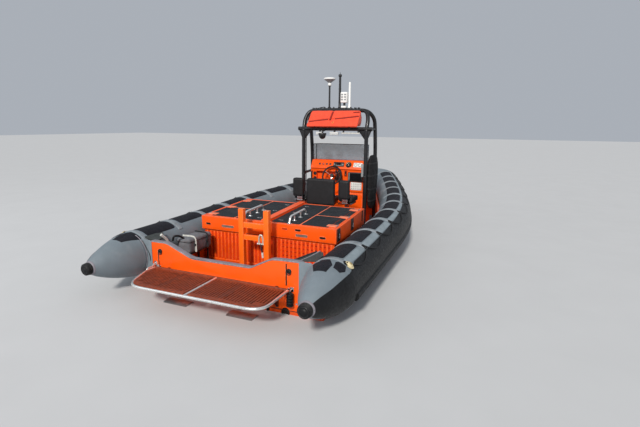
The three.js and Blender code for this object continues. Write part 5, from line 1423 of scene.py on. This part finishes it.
def bag_pin(p):
    d, u = bag_face(p)
    if d < 0.03:
        if abs(u - crease_1(p[1])) < 0.030:
            return True
        if p[1] < -0.28 and abs(u - crease_2(p[1])) < 0.022:
            return True
        if abs(p[1] - centre_fold(u)) < 0.0075 and u > 0.10:
            return True
        if p[1] < -0.34 and abs(u - (0.30 + 2.2 * (p[1] + 0.40))) < 0.02:
            return True
        if u < 0.03 or u > 0.985:
            return True
    if p[2] < 1.752 or (p[0] > 3.24 and p[2] < 1.7745) or abs(p[1] + 0.415) < 0.006 or abs(p[1] - 0.430) < 0.006:
        return True
    return False


swell(o, bag_pin, 5.0, 0.026, bending=0.25)
# the creases are pressed in, so that they read as folds
me = o.data
for v in me.vertices:
    d, u = bag_face(v.co)
    if d < 0.045:
        k = 0.0
        for dist, wd, dep in ((abs(u - crease_1(v.co.y)) * 0.32, 0.013, 0.020), (abs(v.co.y - centre_fold(u)), 0.014, 0.022 if u > 0.42 else 0.007),
                              (abs(u - crease_2(v.co.y)) * 0.32 if v.co.y < -0.28 else 1, 0.011, 0.012)):
            k = max(k, dep * math.exp(-(dist / wd) ** 2))
        wob = 0.0028 * noise.noise(Vector((v.co.x * 9, v.co.y * 14, v.co.z * 30))) + 0.0016 * noise.noise(v.co * 60)
        v.co += Vector((0.80, 0, -0.60)) * (k + wob)
    else:
        v.co += v.normal * (0.0025 * noise.noise(v.co * 24))
me.update()
finish_soft(o, "righting_bag_cover", ["bag"], "boat", ("righting_bag",))
b = Build()
fn = Vector((-0.798, 0, 0.603))


def on_bag(u, y, off=0.004):
    return Vector((3.150 + 0.195 * u, y, 1.764 + 0.258 * u)) + fn * off


# filler valve, two lashing straps under the beam side, hem along the lower edge
b.lathe([(0.0, -0.004), (0.017, -0.004), (0.018, 0.004), (0.013, 0.009), (0.0, 0.010)], on_bag(0.25, -0.005, 0.003), fn, "orange_post", n=24)
# the valve's mouth is a dark disc: painted shade
b.lathe([(0.0, 0.009), (0.008, 0.009), (0.008, 0.013), (0.0, 0.014)], on_bag(0.25, -0.005, 0.003), fn, "slot_shade", n=18)
for y in (-0.30, 0.30):
    pts = [on_bag(0.02, y, -0.004), on_bag(-0.05, y, 0.000), Vector((3.190, y, 1.7430)), Vector((3.262, y, 1.7630))]
    b.tube(pts, 0.0, "strap_black", n=14, flat=(0.024, 0.003))
b.tube([on_bag(0.035, y, 0.0) for y in np.linspace(-0.405, 0.42, 24)], 0.0040, "bag", n=8)
# painted shade: dark tubes laid in the bottoms of the three folds
b.tube([on_bag(crease_1(y), y, -0.0135) for y in np.linspace(-0.412, -0.02, 20)], 0.0120, "bag_fold_shade", n=10)
b.tube([on_bag(crease_1(y), y, -0.0135) for y in np.linspace(0.10, 0.428, 18)], 0.0105, "bag_fold_shade", n=10)
b.tube([on_bag(u, centre_fold(u), -0.0120) for u in np.linspace(0.44, 0.94, 14)], 0.0145, "bag_fold_shade", n=10)
b.tube([on_bag(crease_2(y), y, -0.0065) for y in np.linspace(-0.410, -0.31, 8)], 0.0095, "bag_fold_shade", n=10)
b.make("righting_bag_trim", slot="bag_fabric")

# pannier on the port quarter: sagging fabric box on a black tray
bm = round_box((0.408, 0.706, 0.290), (0.842, 0.907, 0.478), 0.032, 4)
for v in bm.verts:
    f = (v.co.z - 0.29) / 0.188
    v.co.y = 0.8075 + (v.co.y - 0.8075) * (1.0 - 0.10 * (1 - f))
    v.co.z -= 0.010 * f * (1 - ((v.co.x - 0.625) / 0.217) ** 2)
o = remeshed(bm, 0.008, "pannier")


def pan_pin(p):
    edge = min(p[0] - 0.408, 0.842 - p[0], p[1] - 0.708, 0.907 - p[1])
    if abs(p[2] - 0.432) < 0.0045 and edge < 0.02:
        return True
    if abs(p[0] - 0.512) < 0.0045 or abs(p[0] - 0.738) < 0.0045:
        return True
    return p[2] < 0.294


swell(o, pan_pin, 4.0, 0.016)
me = o.data
for v in me.vertices:
    v.co += v.normal * (0.003 * noise.noise(v.co * 18) + 0.0012 * noise.noise(v.co * 55))
    v.co.y = min(v.co.y, 0.914)
me.update()
finish_soft(o, "pannier_bag", ["pannier"], "boat", ("stern_pannier",))
b = Build()
b.box((0.435, 0.735, 0.0560), (0.815, 0.910, 0.072), "black_plastic", 0.005)
for x in (0.45, 0.80):
    for y in (0.75, 0.895):
        b.box((x - 0.012, y - 0.012, 0.070), (x + 0.012, y + 0.012, 0.280), "black_plastic", 0.004)
b.box((0.435, 0.735, 0.272), (0.815, 0.910, 0.288), "black_plastic", 0.005)
for x in (0.512, 0.738):
    p = [(x, 0.702, 0.300), (x, 0.700, 0.36), (x, 0.703, 0.45), (x, 0.722, 0.4805), (x, 0.80, 0.4820), (x, 0.890, 0.4795)]
    b.tube(bend(p, 0.02, 4), 0.0, "strap_pale" if x < 0.6 else "strap_black", n=14, flat=(0.026, 0.0035))
    b.box((x - 0.018, 0.6935, 0.372), (x + 0.018, 0.7005, 0.402), "black_plastic", 0.003)
b.tube([(x, y, 0.433) for x, y in rrect(0.406, 0.844, 0.7065, 0.908, 0.03, 5)], 0.0032, "strap_black", n=8, closed=True)
b.make("pannier_fittings", slot="pannier_fabric")

# rolled black cover lashed between the starboard legs
bm = bmesh.new()
rings = []
secs = [(0.420, 0.090, 0.030), (0.470, 0.150, 0.045), (0.620, 0.190, 0.058), (0.800, 0.215, 0.066), (0.980, 0.222, 0.068), (1.150, 0.215, 0.064), (1.260, 0.180, 0.052), (1.305, 0.110, 0.034)]
for z, hx, hy in secs:
    xm = 3.520 + 0.012 * math.sin(z * 5) - (1.305 - z) * 0.03
    rings.append([bm.verts.new((xm + hx * math.cos(t), -0.612 + hy * math.sin(t), z)) for t in np.linspace(0, 2 * math.pi, 25)[:-1]])
for r0, r1 in zip(rings, rings[1:]):
    for k in range(24):
        bm.faces.new((r0[k], r0[(k + 1) % 24], r1[(k + 1) % 24], r1[k]))
bm.faces.new(rings[0][::-1])
bm.faces.new(rings[-1])
bmesh.ops.recalc_face_normals(bm, faces=bm.faces)
o = remeshed(bm, 0.012, "cover")
swell(o, lambda p: any(abs(p[2] - z) < 0.008 for z in (0.56, 0.76, 0.98, 1.18)) or p[2] < 0.43 or p[2] > 1.295, 5.0, 0.024, bending=0.2)
me = o.data
for v in me.vertices:
    v.co += v.normal * (0.010 * noise.noise(Vector((v.co.x * 30, v.co.y * 8, v.co.z * 3.5))) + 0.003 * noise.noise(v.co * 28))
    v.co.y = min(v.co.y, -0.548 if 0.94 < v.co.z < 1.02 else -0.545)
me.update()
finish_soft(o, "rolled_cover", ["cover_black"], "boat", ())
b = Build()
for z in (0.56, 0.76, 0.98, 1.18):
    hx = float(np.interp(z, [s_[0] for s_ in secs], [s_[1] for s_ in secs])) + 0.004
    hy = float(np.interp(z, [s_[0] for s_ in secs], [s_[2] for s_ in secs])) + 0.004
    xm = 3.520 + 0.012 * math.sin(z * 5) - (1.305 - z) * 0.03
    b.tube([(xm + hx * math.cos(t), min(-0.612 + hy * math.sin(t), -0.541), z + 0.004 * math.sin(3 * t)) for t in np.linspace(0, 2 * math.pi, 41)[:-1]], 0.0, "strap_black", n=12, closed=True, flat=(0.004, 0.026))
b.make("rolled_cover_straps", slot="black_rubber")
